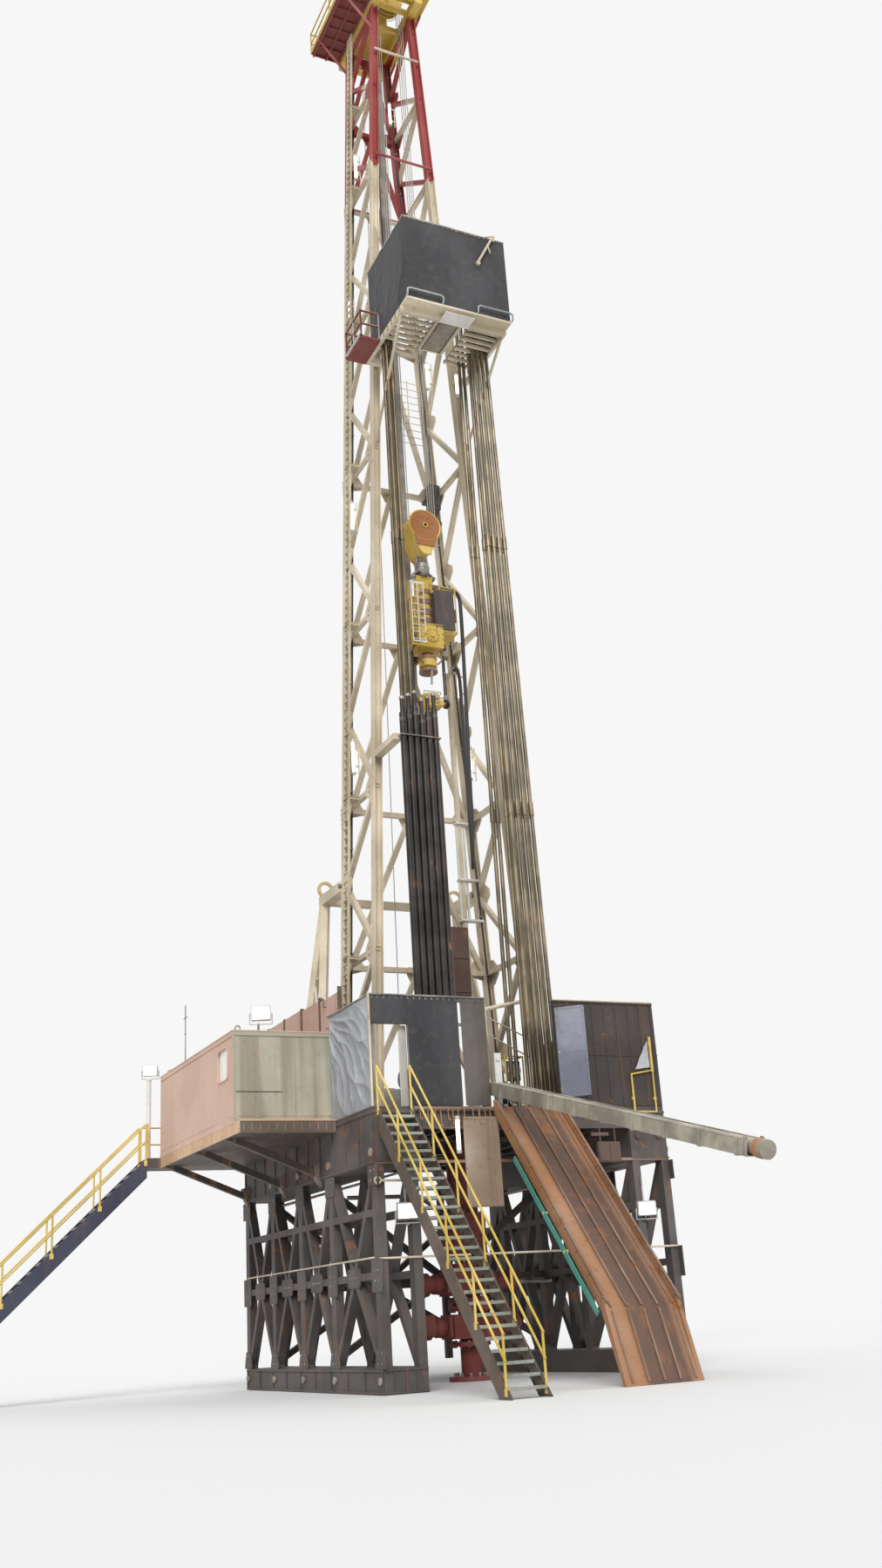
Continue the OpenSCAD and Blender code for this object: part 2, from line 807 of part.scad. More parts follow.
module travelling_block() {
    drop = block_sheave_z - block_z - block_low_r;
    color(yellow) {
        for (s = [-1, 1]) translate([0, 0, block_sheave_z])
            in_xz(s * (cheek_y + cheek_t / 2), cheek_t) tapered_outline(block_r, block_low_r, drop);
        translate([0, 0, block_sheave_z]) {
            in_xz(0, 2 * cheek_y + 2) intersection() {
                difference() {
                    tapered_outline(block_r - 4, block_low_r - 4, drop);
                    tapered_outline(block_r - guard_t, block_low_r - guard_t, drop);
                }
                translate([-block_r, -block_r - drop]) square([2 * block_r, block_r + drop + 80]);
            }
            wheel_y(60, 2 * cheek_y + 2 * cheek_t + 40);
            for (i = [0:3]) translate([0, (i - 1.5) * line_pitch, 0]) sheave();
        }
        box([-90, -cheek_y, block_z + 40], [90, cheek_y, block_z + 240]);
    }
}

// The swivel, the hook's body and the cross pin that carries the top drive's bail
module hook() {
    color([0.42, 0.38, 0.34]) {
        rod([0, 0, block_z - 120], [0, 0, block_z], 70);
        rod([0, 0, block_z - 260], [0, 0, block_z - 119], 120);
        box([-70, -120, drive_top + 60], [70, 120, block_z - 259]);
    }
}

inlet_x = 520;
inlet_z = drive_top - 100;
motor_r = 190;
motor_x = 285;
body_x = 215;
body_y = 220;
cage_left = 360;
lip = 22;

// The motor, the gearbox, the carriage on the guide track and the cage on the left side
module top_drive() {
    grip_x = track_w / 2 + clearance;
    color([0.60, 0.50, 0.16]) {
        box([-body_x, -body_y, drive_z], [body_x, body_y, drive_z + 420]);
        rod([0, 0, drive_z + 400], [0, 0, drive_top - 60], 110);
        for (s = [-1, 1]) box([s * 150, -60, drive_z + 400], [s * 100, 60, drive_top + 30]);
        box([-150, -60, drive_top - 60], [150, 60, drive_top + 60]);
        translate([motor_x, 0, drive_z + 300]) cylinder(h = drive_h - 500, r = motor_r, $fn = 48);
        for (s = [-1, 1]) rod([s * (body_x - 10), 0, ear_z], [s * (eye_x + eye_w / 2 + 20), 0, ear_z], pin_r);
        rod([0, 0, inlet_z], [inlet_x, 0, inlet_z], 40);
        rod([0, 0, drive_z - 420], [0, 0, drive_z + 1], 90);
        rod([0, 0, drive_z - 300], [0, 0, drive_z - 120], 150);
        translate([0, 0, drive_z + 60]) linear_extrude(drive_h - 260) {
            translate([-body_x, body_y - 1]) square([2 * body_x, 60]);
            for (s = [-1, 1]) translate([s > 0 ? grip_x : -grip_x - 24, body_y])
                square([24, track_y + track_d - track_t - clearance - body_y]);
            for (s = [-1, 1]) translate([s > 0 ? grip_x - lip * 2 : -grip_x, track_y + track_t + clearance])
                square([lip * 2, track_d - 2 * track_t - 2 * clearance]);
        }
        for (y = [-body_y + 12, body_y - 12]) in_xz(y, 24) {
            for (x = [-cage_left, -body_x - 24]) translate([x, drive_z]) square([24, drive_h - 150]);
            for (k = [0:4]) translate([-cage_left, drive_z + k * (drive_h - 174) / 4])
                square([cage_left - body_x + 1, 24]);
        }
        for (k = [0:4]) box([-cage_left, -body_y, drive_z + k * (drive_h - 174) / 4],
            [-cage_left + 24, body_y, drive_z + 24 + k * (drive_h - 174) / 4]);
        box([-body_x - 40, -body_y, drive_z], [-body_x + 1, body_y, drive_z + 24]);
    }
}

module links() {
    elevator_pin = elevator_z + elevator_h / 2;
    color([0.50, 0.45, 0.35]) for (s = [-1, 1]) difference() {
        union() {
            rod([s * eye_x, 0, elevator_pin + eye_r - 10], [s * eye_x, 0, ear_z - eye_r + 10], 28);
            for (z = [elevator_pin, ear_z]) translate([s * eye_x, 0, z]) wheel_x(eye_r, eye_w);
        }
        for (z = [elevator_pin, ear_z]) translate([s * eye_x, 0, z]) wheel_x(pin_r + fit_gap, 200);
    }
}

module elevator() {
    color(yellow) difference() {
        union() {
            translate([0, 0, elevator_z]) cylinder(h = elevator_h, r = 165, $fn = 48);
            translate([0, 0, elevator_z + elevator_h / 2])
                wheel_x(pin_r, 2 * eye_x + eye_w + 40);
            box([-215, -45, elevator_z + 50], [215, 45, elevator_z + elevator_h - 50]);
        }
        translate([0, 0, elevator_z - 1]) cylinder(h = elevator_h + 2, d = joint_d + 24, $fn = 32);
    }
}

// Doghouse

house_floor_t = 60;
roof_t = 60;
house_z = floor_h + house_floor_t;
roof_z = floor_h + house_h - roof_t;
skid_h = 150;
ledge = 285;
porch_y = house_back + side_stair_w;
porch_left = house_left + 220;
window_y = -290;
window_up = 645;
strut_w = 90;
strut_y = [-100, 1400, 3150];

// The floor on its skid, the porch beyond it and the struts that hold them off the side frame
module doghouse_base() {
    color([0.70, 0.42, 0.28]) {
        box([-house_left, -house_front, floor_h], [-house_right, house_back, house_z]);
        box([-house_left, -house_front - ledge, floor_h - skid_h], [-half_w, house_back, floor_h + 1]);
        box([-porch_left, house_back - 1, floor_h - skid_h], [-half_w, porch_y, floor_h]);
        for (y = strut_y) in_xz(y, strut_w) intersection() {
            strip([-house_left + 60, floor_h - skid_h + 20], [-half_w + 200, box_z], strut_w);
            translate([-house_left - 100, box_z - 100])
                square([house_left + 100 - half_w, floor_h - skid_h + 110 - box_z]);
        }
    }
}

module doghouse_end_walls() {
    color([0.80, 0.77, 0.66]) {
        box([-house_left, -house_front, house_z], [-house_right, -house_front + house_t, roof_z]);
        in_xz(house_back - house_t / 2, house_t) difference() {
            translate([-house_left, house_z]) square([house_left - house_right, roof_z - house_z]);
            translate([-house_left + 300, house_z - 1]) square([house_door_w, house_door_h + 1]);
        }
    }
}

module house_side_drawing() {
    translate([-house_front + house_t, house_z])
        square([house_front + house_back - 2 * house_t, roof_z - house_z]);
}

module doghouse_side_walls() {
    color([0.80, 0.55, 0.45]) {
        in_yz(-house_left + house_t / 2, house_t) difference() {
            house_side_drawing();
            translate([window_y, floor_h + window_up]) square([window_w, window_h]);
        }
        in_yz(-house_right - house_t / 2, house_t) difference() {
            house_side_drawing();
            translate([house_front, house_z - 1]) square([house_door_w, house_door_h + 1]);
        }
    }
}

module doghouse_roof() {
    color([0.60, 0.48, 0.42])
        box([-house_left, -house_front, roof_z], [-house_right, house_back, floor_h + house_h]);
}

module doghouse_window() {
    color([0.85, 0.88, 0.80]) in_yz(-house_left + house_t / 2, 10)
        translate([window_y, floor_h + window_up]) square([window_w, window_h]);
}

// Stairs and ramp

stringer_d = 300;
tread_t = 24;
stair_x = -half_w + wall_t + 10;
stair_posts = 5;

// A stair that falls by h from the origin towards +x
module stair(w, run, h) {
    steps = round(h / tread_rise);
    rise = h / steps;
    go = run / steps;
    fall = h / run;
    for (y = [stringer_t / 2, w - stringer_t / 2]) in_xz(y, stringer_t)
        polygon([[0, h], [0, h - stringer_d], [run - stringer_d / fall, 0], [run, 0]]);
    for (k = [1:steps - 1]) translate([(k - 1) * go, stringer_t - 1, h - k * rise - tread_t])
        cube([go + 20, w - 2 * stringer_t + 2, tread_t]);
    for (y = [stringer_t / 2, w - stringer_t / 2]) in_xz(y, rail_t) intersection() {
        union() {
            for (k = [0.5, 1]) strip([0, h + k * rail_h], [run, k * rail_h], rail_t);
            for (i = [0:stair_posts]) {
                x = i * (run - 4 * rail_t) / stair_posts;
                translate([x, h - (x + 2 * rail_t) * fall - 10])
                    square([rail_t, rail_h + rail_t * fall + 10]);
            }
        }
        square([run, h + rail_h + rail_t]);
    }
}

module side_stair() {
    color([0.12, 0.13, 0.25]) translate([-porch_left, porch_y, 0]) rotate(180)
        stair(side_stair_w, side_stair_run, floor_h);
}

module front_stair() {
    color([0.30, 0.24, 0.16]) translate([stair_x, -floor_front, 0]) rotate(-90)
        stair(stair_w, stair_run, floor_h);
}

ramp_side_w = 50;
ramp_side_h = 90;

module ramp() {
    bend_y = -floor_front - ramp_run;
    foot_y = bend_y - ramp_foot_run;
    color([0.45, 0.27, 0.16]) {
        in_yz(ramp_x, ramp_w) polygon([[-floor_front, floor_h], [bend_y, ramp_bend_z], [foot_y, 0],
            [foot_y + ramp_t, 0], [bend_y + ramp_t, ramp_bend_z - ramp_t / 2],
            [-floor_front, floor_h - 1.5 * ramp_t]]);
        for (s = [-1, 1]) in_yz(ramp_x + s * (ramp_w - ramp_side_w) / 2, ramp_side_w) polygon([
            [-floor_front, floor_h - ramp_t], [-floor_front, floor_h + ramp_side_h],
            [bend_y, ramp_bend_z + ramp_side_h], [foot_y, 0], [foot_y + ramp_t, 0],
            [bend_y, ramp_bend_z - ramp_t]]);
    }
}

// The handrails along the porch, the floor's back edge and the rest of its right side
right_wall_back = 1300;

module handrails() {
    color([0.80, 0.72, 0.15]) translate([0, 0, floor_h]) {
        in_xz(porch_y - rail_t / 2, rail_t) translate([-porch_left, 0])
            rail_drawing(porch_left - half_w);
        in_xz(floor_back - rail_t / 2, rail_t) translate([-house_right, 0])
            rail_drawing(half_w + house_right);
        in_yz(half_w - rail_t / 2, rail_t) translate([right_wall_back, 0])
            rail_drawing(floor_back - right_wall_back - 2 * rail_t);
    }
}

// Wind walls

vdoor_right = ramp_x + ramp_w / 2;
door_right = stair_x + stair_w + 10;

// The front wall, whose tarpaulins part at a slit
module front_wall() {
    color([0.09, 0.09, 0.10]) in_xz(-floor_front + wall_t / 2, wall_t) difference() {
        polygon([[-half_w, floor_h + stair_door_h], [door_right, floor_h + stair_door_h],
            [door_right, floor_h], [-front_wall_end, floor_h], [-front_wall_end, floor_h + wall_h],
            [-half_w, floor_h + wall_h]]);
        translate([-slit_x - slit_w / 2, floor_h - 1]) square([slit_w, wall_h + 2]);
    }
}
slit_x = 895;
slit_w = 30;

roof_wall_h = 620;

module left_walls() {
    color([0.42, 0.44, 0.48]) {
        box([-half_w, -floor_front + wall_t, floor_h], [-half_w + wall_t, -house_front, floor_h + wall_h]);
        box([-half_w, -floor_front, floor_h], [-half_w + wall_t, -floor_front + wall_t, floor_h + stair_door_h]);
        box([-house_right - wall_t, 300, floor_h + house_h],
            [-house_right, house_back - 200, floor_h + house_h + roof_wall_h]);
    }
}

wing_pin_r = 14;
wing_barrel_r = 26;
wing_pin_x = vdoor_right + 30;
wing_pin_y = -floor_front - 36;
wing_up = 115;
wing_t = 24;
wing_h = 1380;

// The wall to the right of the V-door, with the pin that its wing turns on
module right_wall() {
    color([0.12, 0.09, 0.08]) {
        box([vdoor_right, -floor_front, floor_h], [half_w, -floor_front + wall_t, floor_h + wall_h]);
        box([half_w - wall_t, -floor_front + wall_t - 1, floor_h],
            [half_w, right_wall_back, floor_h + wall_h]);
        for (z = [wing_up - 16, wing_h + 6]) box([wing_pin_x - 20, wing_pin_y - 14, floor_h + z],
            [wing_pin_x + 20, -floor_front + 1, floor_h + z + 10]);
        rod([wing_pin_x, wing_pin_y, floor_h + wing_up - 10],
            [wing_pin_x, wing_pin_y, floor_h + wing_h + 10], wing_pin_r);
    }
}

module vdoor_wing() {
    color([0.30, 0.38, 0.60]) translate([wing_pin_x, wing_pin_y, floor_h + wing_up]) difference() {
        union() {
            cylinder(h = wing_h - wing_up, r = wing_barrel_r, $fn = 32);
            rotate(wing_open - 90) translate([wing_barrel_r - 8, -wing_t / 2, 0])
                cube([wing_w, wing_t, wing_h - wing_up]);
        }
        translate([0, 0, -1]) cylinder(h = wing_h, r = wing_pin_r + fit_gap, $fn = 32);
    }
}

module hanging_panel() {
    color([0.60, 0.50, 0.38])
        box([-955, -floor_front - 20, 2190], [-430, -floor_front, deck_z - 100]);
}

// Trough

trough_x = -330;
pivot_y = -1980;
pivot_z = floor_h + 300;
lug_r = 60;
lug_t = 30;
trough_wall = 12;
trough_d = 170;

// Places what runs along -y from the pin, sloping as the trough does
module on_trough() {
    translate([trough_x, pivot_y, pivot_z]) rotate([trough_slope, 0, 0]) children();
}

module pipe_trough() {
    color([0.55, 0.55, 0.48]) on_trough() difference() {
        union() {
            wheel_x(lug_r - 10, trough_w);
            rotate([90, 0, 0]) linear_extrude(trough_len) difference() {
                translate([-trough_w / 2, -trough_w / 2]) square([trough_w, trough_d]);
                translate([-trough_w / 2 + trough_wall, -trough_w / 2 + trough_wall])
                    square([trough_w - 2 * trough_wall, trough_w]);
            }
        }
        wheel_x(pin_r + fit_gap, trough_w + 100);
    }
}

module trough_pipe() {
    color([0.60, 0.58, 0.50]) on_trough()
        translate([0, -lug_r - 60, -trough_w / 2 + trough_wall + casing_d / 2 + fit_gap])
            rotate([90, 0, 0]) {
                cylinder(h = trough_len + 20, d = casing_d, $fn = 48);
                translate([0, 0, trough_len]) cylinder(h = 90, d = casing_d + 30, $fn = 48);
            }
}

standpipe_x = 860;
standpipe_r = 50;
gooseneck_z = 11500;
gooseneck_len = 250;
standpipe_y = leg_back - lace_w / 2 - standpipe_r - fit_gap;

module standpipe() {
    color([0.70, 0.66, 0.56]) {
        rod([standpipe_x, standpipe_y, floor_h], [standpipe_x, standpipe_y, gooseneck_z], standpipe_r);
        translate([standpipe_x, standpipe_y, gooseneck_z]) {
            sphere(r = standpipe_r + 4, $fn = 32);
            rod([0, 0, 0], [0, -gooseneck_len, 0], standpipe_r);
        }
        for (i = [1, 2]) translate([standpipe_x - clamp_w / 2, standpipe_y, levels[i] - clamp_h / 2])
            cube([clamp_w, leg_back - lace_w / 2 - standpipe_y, clamp_h]);
    }
}

clamp_w = 160;
clamp_h = 60;

// The route of the hose from the standpipe's neck down round its loop and up to the top drive
hose_r = 32;
hose_sides = 8;
hose_step = 180;
hose_across = [1, -1, 0];
hose_start = standpipe_y - gooseneck_len - fit_gap;
hose_route = [[standpipe_x, hose_start, gooseneck_z], [standpipe_x, hose_start - 80, gooseneck_z],
    [860, 600, 11420], [860, 560, 11280], [860, 545, 11000], [860, 540, 10000], [855, 530, 9000],
    [845, 505, 8250], [820, 460, 7880], [780, 390, 7760], [745, 300, 7930], [730, 220, 8500],
    [720, 150, 9500], [715, 90, 10700], [710, 40, 11800], [700, 15, 12350], [675, 0, 12550],
    [inlet_x + 80, 0, inlet_z], [inlet_x + fit_gap, 0, inlet_z]];
hose_last = len(hose_route) - 1;

function unit(v) = v / norm(v);
function stop_at(i) = hose_route[max(0, min(hose_last, i))];
function spline(i, t) = let (a = stop_at(i - 1), b = stop_at(i), c = stop_at(i + 1), d = stop_at(i + 2))
    b + (c - a) * t / 2 + (2 * a - 5 * b + 4 * c - d) * t * t / 2
        + (3 * b - a - 3 * c + d) * t * t * t / 2;
hose_line = [for (i = [0:hose_last - 1])
    let (n = ceil(norm(hose_route[i + 1] - hose_route[i]) / hose_step))
    for (k = [0:n - 1]) spline(i, k / n), hose_route[hose_last]];
rings = len(hose_line);
function ring(k) = let (
    along = unit(hose_line[min(k + 1, rings - 1)] - hose_line[max(k - 1, 0)]),
    side = unit(cross(along, hose_across)),
    up = cross(along, side))
    [for (j = [0:hose_sides - 1]) let (a = 360 * j / hose_sides)
        hose_line[k] + hose_r * (cos(a) * side + sin(a) * up)];

module mud_hose() {
    n = hose_sides;
    color([0.08, 0.08, 0.08]) polyhedron(
        points = [for (k = [0:rings - 1]) each ring(k)],
        faces = [[for (j = [0:n - 1]) j], [for (j = [0:n - 1]) rings * n - 1 - j],
            for (k = [0:rings - 2]) for (j = [0:n - 1]) let (a = k * n, b = (j + 1) % n)
                each [[a + j, a + n + j, a + b], [a + b, a + n + j, a + n + b]]]);
}

skid_boxes();
side_frame(-1);  // left_frame
side_frame(1);  // right_frame
cross_bracing();
floor_frame();
drill_floor();
rotary_table();
wellhead();
color(cream) mast_side(-1, 0, 6);  // mast_left_side
color(cream) mast_side(1, 0, 6);  // mast_right_side
color(cream) mast_rear(0, 6, leg_in);  // mast_back
mast_top();
mast_ladder();
a_frame();
mast_cabinet();
drawworks();
fast_line();
crown_frame();
crown_sheaves();
board_frame();
board_fingers();
board_walls();
side_basket();
left_stands();
right_stands();
collars();
collar_rack();
guide_track();
drill_lines();
travelling_block();
hook();
top_drive();
links();
elevator();
doghouse_base();
doghouse_end_walls();
doghouse_side_walls();
doghouse_roof();
doghouse_window();
side_stair();
front_stair();
ramp();
handrails();
front_wall();
left_walls();
right_wall();
vdoor_wing();
hanging_panel();
pipe_trough();
trough_pipe();
standpipe();
mud_hose();
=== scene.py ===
"""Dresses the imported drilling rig: finishes for its steel, and the pieces that are finer than its frame."""

import json
import math

import bpy
from mathutils import Euler, Matrix, Vector


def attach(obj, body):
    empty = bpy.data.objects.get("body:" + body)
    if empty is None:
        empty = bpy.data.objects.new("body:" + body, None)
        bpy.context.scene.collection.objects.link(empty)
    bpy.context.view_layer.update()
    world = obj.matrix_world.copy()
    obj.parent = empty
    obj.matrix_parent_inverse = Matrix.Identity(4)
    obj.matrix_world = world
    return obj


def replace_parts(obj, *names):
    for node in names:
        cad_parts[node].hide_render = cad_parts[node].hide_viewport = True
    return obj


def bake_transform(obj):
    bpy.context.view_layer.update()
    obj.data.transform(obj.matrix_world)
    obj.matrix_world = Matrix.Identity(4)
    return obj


bl_info = {
    "name": "Drilling Rig Dresser",
    "version": (1, 0, 0),
    "blender": (4, 5, 0),
    "location": "3D View > Sidebar > Rig",
    "description": "Finishes and fine pieces for a half size drilling rig",
    "category": "Object",
}

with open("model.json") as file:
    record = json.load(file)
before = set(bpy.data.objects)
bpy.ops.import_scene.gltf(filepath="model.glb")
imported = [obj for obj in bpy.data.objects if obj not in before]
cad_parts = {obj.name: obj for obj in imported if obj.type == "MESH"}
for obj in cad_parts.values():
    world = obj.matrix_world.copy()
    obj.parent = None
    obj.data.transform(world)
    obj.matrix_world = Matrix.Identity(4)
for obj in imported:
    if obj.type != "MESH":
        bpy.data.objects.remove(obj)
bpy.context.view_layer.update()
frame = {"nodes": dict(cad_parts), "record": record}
ROOT = "rig"


# Shader helpers

class Shade:
    """A shader socket that takes part in Python sums."""

    def __init__(self, finish, socket):
        self.finish = finish
        self.socket = socket

    def maths(self, operation, *values):
        """Adds a Math node that works on the values in their order."""
        return self.finish.node("ShaderNodeMath", {"operation": operation}, dict(enumerate(values)))

    def __add__(self, other):
        return self.maths("ADD", self, other)

    def __radd__(self, other):
        return self.maths("ADD", other, self)

    def __sub__(self, other):
        return self.maths("SUBTRACT", self, other)

    def __rsub__(self, other):
        return self.maths("SUBTRACT", other, self)

    def __mul__(self, other):
        return self.maths("MULTIPLY", self, other)

    def __rmul__(self, other):
        return self.maths("MULTIPLY", other, self)

    def above(self, low, high):
        """0 under low, 1 over high, smooth between them."""
        return self.finish.node(
            "ShaderNodeMapRange", {"interpolation_type": "SMOOTHSTEP"},
            {"Value": self, "From Min": low, "From Max": high})

    def size(self):
        """The value without its sign."""
        return self.maths("ABSOLUTE", self)

    def wave(self, period):
        """0 to 1 and back over each period."""
        return self.maths("PINGPONG", self, period / 2) * (2 / period)


class Finish:
    """A procedural material on Object coordinates, built node by node."""

    def __init__(self, name):
        self.material = bpy.data.materials.new(name)
        self.material.use_nodes = True
        self.tree = self.material.node_tree
        self.tree.nodes.clear()
        self.output = self.tree.nodes.new("ShaderNodeOutputMaterial")
        self.surface = self.tree.nodes.new("ShaderNodeBsdfPrincipled")
        self.tree.links.new(self.surface.outputs[0], self.output.inputs["Surface"])
        self.place = Shade(self, self.tree.nodes.new("ShaderNodeTexCoord").outputs["Object"])
        split = self.tree.nodes.new("ShaderNodeSeparateXYZ")
        self.tree.links.new(self.place.socket, split.inputs[0])
        self.x, self.y, self.z = (Shade(self, s) for s in split.outputs)

    def feed(self, slot, value):
        """Links a Shade or sets a plain number, vector or colour."""
        if isinstance(value, Shade):
            self.tree.links.new(value.socket, slot)
        elif isinstance(value, (tuple, list)) and slot.type == "RGBA":
            slot.default_value = (*value[:3], 1.0)
        else:
            slot.default_value = value

    def node(self, kind, settings, inputs, output=0):
        """Adds one node, its settings first, then its inputs' values or links."""
        node = self.tree.nodes.new(kind)
        for key, value in settings.items():
            setattr(node, key, value)
        for key, value in inputs.items():
            self.feed(node.inputs[key], value)
        return Shade(self, node.outputs[output])

    def stretched(self, scale):
        """Object coordinates multiplied by scale on each axis."""
        return self.node("ShaderNodeMapping", {}, {"Vector": self.place, "Scale": scale})

    def noise(self, scale, detail, rough=0.55, across=(1, 1, 1)):
        return self.node(
            "ShaderNodeTexNoise", {},
            {"Vector": self.stretched(across), "Scale": scale, "Detail": detail, "Roughness": rough})

    def cells(self, scale):
        return self.node("ShaderNodeTexVoronoi", {"feature": "F1"}, {"Vector": self.place, "Scale": scale})

    def mix(self, factor, first, second):
        """Blends two colours, by the colour sockets of a Mix node."""
        return self.node("ShaderNodeMix", {"data_type": "RGBA"}, {0: factor, 6: first, 7: second}, 2)

    def bump(self, height, strength, distance, below=None):
        inputs = {"Height": height, "Strength": strength, "Distance": distance}
        if below is not None:
            inputs["Normal"] = below
        return self.node("ShaderNodeBump", {}, inputs)

    def wear(self, colour, rough, metal, normal=None, **fixed):
        """Feeds the surface shader and returns the finished material."""
        self.feed(self.surface.inputs["Base Color"], colour)
        self.feed(self.surface.inputs["Roughness"], rough)
        self.feed(self.surface.inputs["Metallic"], metal)
        if normal is not None:
            self.feed(self.surface.inputs["Normal"], normal)
        for key, value in fixed.items():
            self.feed(self.surface.inputs[key.replace("_", " ")], value)
        self.material.diffuse_color = (*(colour if isinstance(colour, tuple) else (0.5, 0.5, 0.5)), 1.0)
        return self.material


RUST = (0.155, 0.052, 0.020)
RUST_PALE = (0.33, 0.135, 0.055)
GRIME = (0.030, 0.026, 0.022)


def painted(name, paint, rust=0.5, streaks=0.5, grime=0.4, rough=0.5, fade=0.12, other=None, where=None):
    """Site paint: faded patches, rust that bleeds down, grime in the lee; a second tone where a mask says,
    which is a second paint on some finishes and a painted shade on others.
    """
    f = Finish(name)
    patch = f.noise(0.9, 4.0)
    fine = f.noise(14.0, 4.0, 0.6)
    run = f.noise(1.0, 3.0, 0.6, (7.0, 7.0, 0.5))
    spots = f.noise(3.4, 6.0, 0.68)
    paler = tuple(min(1.0, c + fade) for c in paint)
    darker = tuple(c * (1.0 - 1.5 * fade) for c in paint)
    base = f.mix(patch.above(0.35, 0.68), darker, paler)
    if where:
        base = f.mix(where(f), base, f.mix(patch, tuple(c * 0.8 for c in other), other))
    base = f.mix(
        run.above(0.50, 0.78) * streaks, base, tuple(c * 0.5 + g * 0.5 for c, g in zip(paint, RUST_PALE)))
    base = f.mix(fine.above(0.52, 0.80) * grime * 0.6, base, GRIME)
    worn = (spots * 0.75 + fine * 0.25).above(0.66 - 0.12 * rust, 0.72 - 0.08 * rust)
    rusty = f.mix(fine, RUST, RUST_PALE)
    base = f.mix(worn, base, rusty)
    halo = (spots * 0.75 + fine * 0.25).above(0.58 - 0.12 * rust, 0.70 - 0.10 * rust) * 0.35 * streaks
    base = f.mix(halo, base, RUST_PALE)
    shine = rough + patch * 0.16 + worn * 0.25
    relief = f.bump(fine * 0.4 + worn * 0.6, 0.35, 0.004)
    return f.wear(base, shine, 0.0, relief)


def bare_steel(name, tone, rust=0.25, rough=0.36, dark=0.5, metal=0.85):
    """Handled steel: bright where it rubs, brown where it doesn't."""
    f = Finish(name)
    patch = f.noise(2.2, 4.0)
    fine = f.noise(24.0, 4.0, 0.6, (1.0, 1.0, 0.22))
    film = f.mix(patch.above(0.36, 0.66), tuple(c * dark for c in tone), tone)
    brown = (patch * 0.6 + fine * 0.4).above(0.60 - 0.14 * rust, 0.70 - 0.08 * rust)
    base = f.mix(brown * 0.8, film, f.mix(fine, RUST, RUST_PALE))
    return f.wear(base, rough + fine * 0.22 + brown * 0.25, metal - brown * 0.6, f.bump(fine, 0.25, 0.002))


def rope_lay(name, tone):
    """Laid wire rope: slanting strands with grease between them."""
    f = Finish(name)
    turn = (f.z * 46.0 + (f.x + f.y) * 60.0).wave(1.0)
    fine = f.noise(30.0, 3.0)
    base = f.mix(turn * 0.7 + fine * 0.3, tuple(c * 0.35 for c in tone), tone)
    return f.wear(base, 0.36 + fine * 0.2, 0.75, f.bump(turn, 0.6, 0.003))


def canvas(name, tone):
    """Coated tarpaulin: faint creases, dust in the folds."""
    f = Finish(name)
    fold = f.noise(1.3, 4.0, 0.55, (1.0, 1.0, 0.45))
    crease = f.noise(5.5, 5.0, 0.6, (1.0, 1.0, 0.7))
    dust = f.noise(9.0, 4.0, 0.6)
    pale = tuple(min(1.0, c * 1.7 + 0.035) for c in tone)
    base = f.mix(fold.above(0.3, 0.7) * 0.6, tone, pale)
    base = f.mix(dust.above(0.5, 0.8) * 0.15, base, (0.22, 0.19, 0.16))
    return f.wear(base, 0.72 - crease * 0.2, 0.0, f.bump(crease, 0.45, 0.02, f.bump(fold, 0.7, 0.09)))


def deck_plate(name, tone):
    """Trodden deck: raised lozenges worn bright, mud in between."""
    f = Finish(name)
    one = (f.x + f.y).wave(0.034)
    two = (f.x - f.y).wave(0.034)
    lozenge = (one * two).above(0.42, 0.62)
    mud = f.noise(1.7, 5.0)
    base = f.mix(mud.above(0.35, 0.7), tuple(c * 0.55 for c in tone), tone)
    base = f.mix(lozenge * 0.35, base, (0.40, 0.37, 0.33))
    return f.wear(base, 0.5 + mud * 0.3, 0.25 + lozenge * 0.3, f.bump(lozenge, 0.5, 0.004))


def plain(name, tone, rough=0.5, metal=0.0, grain=0.12, **fixed):
    """Rubber, plastic and other even stuff, with a little dust."""
    f = Finish(name)
    fine = f.noise(11.0, 4.0, 0.6)
    base = f.mix(fine * grain * 2.0, tone, tuple(min(1.0, c + 0.15) for c in tone))
    return f.wear(base, rough + fine * 0.12, metal, f.bump(fine, 0.15, 0.002), **fixed)


def speckled(name):
    """Thread compound: pale grey dabbed with dark spots."""
    f = Finish(name)
    dots = f.cells(15.0)
    base = f.mix(dots.above(0.27, 0.33), (0.10, 0.065, 0.045), (0.80, 0.77, 0.68))
    return f.wear(base, 0.5 + dots * 0.1, 0.2, f.bump(dots, 0.3, 0.002))


def glowing(name, tone, strength):
    """The face of a lamp, slightly uneven."""
    f = Finish(name)
    haze = f.noise(6.0, 2.0)
    return f.wear(
        f.mix(haze, tone, (1.0, 1.0, 1.0)), 0.3, 0.0, Emission_Color=tone, Emission_Strength=strength)


FINISHES = {}


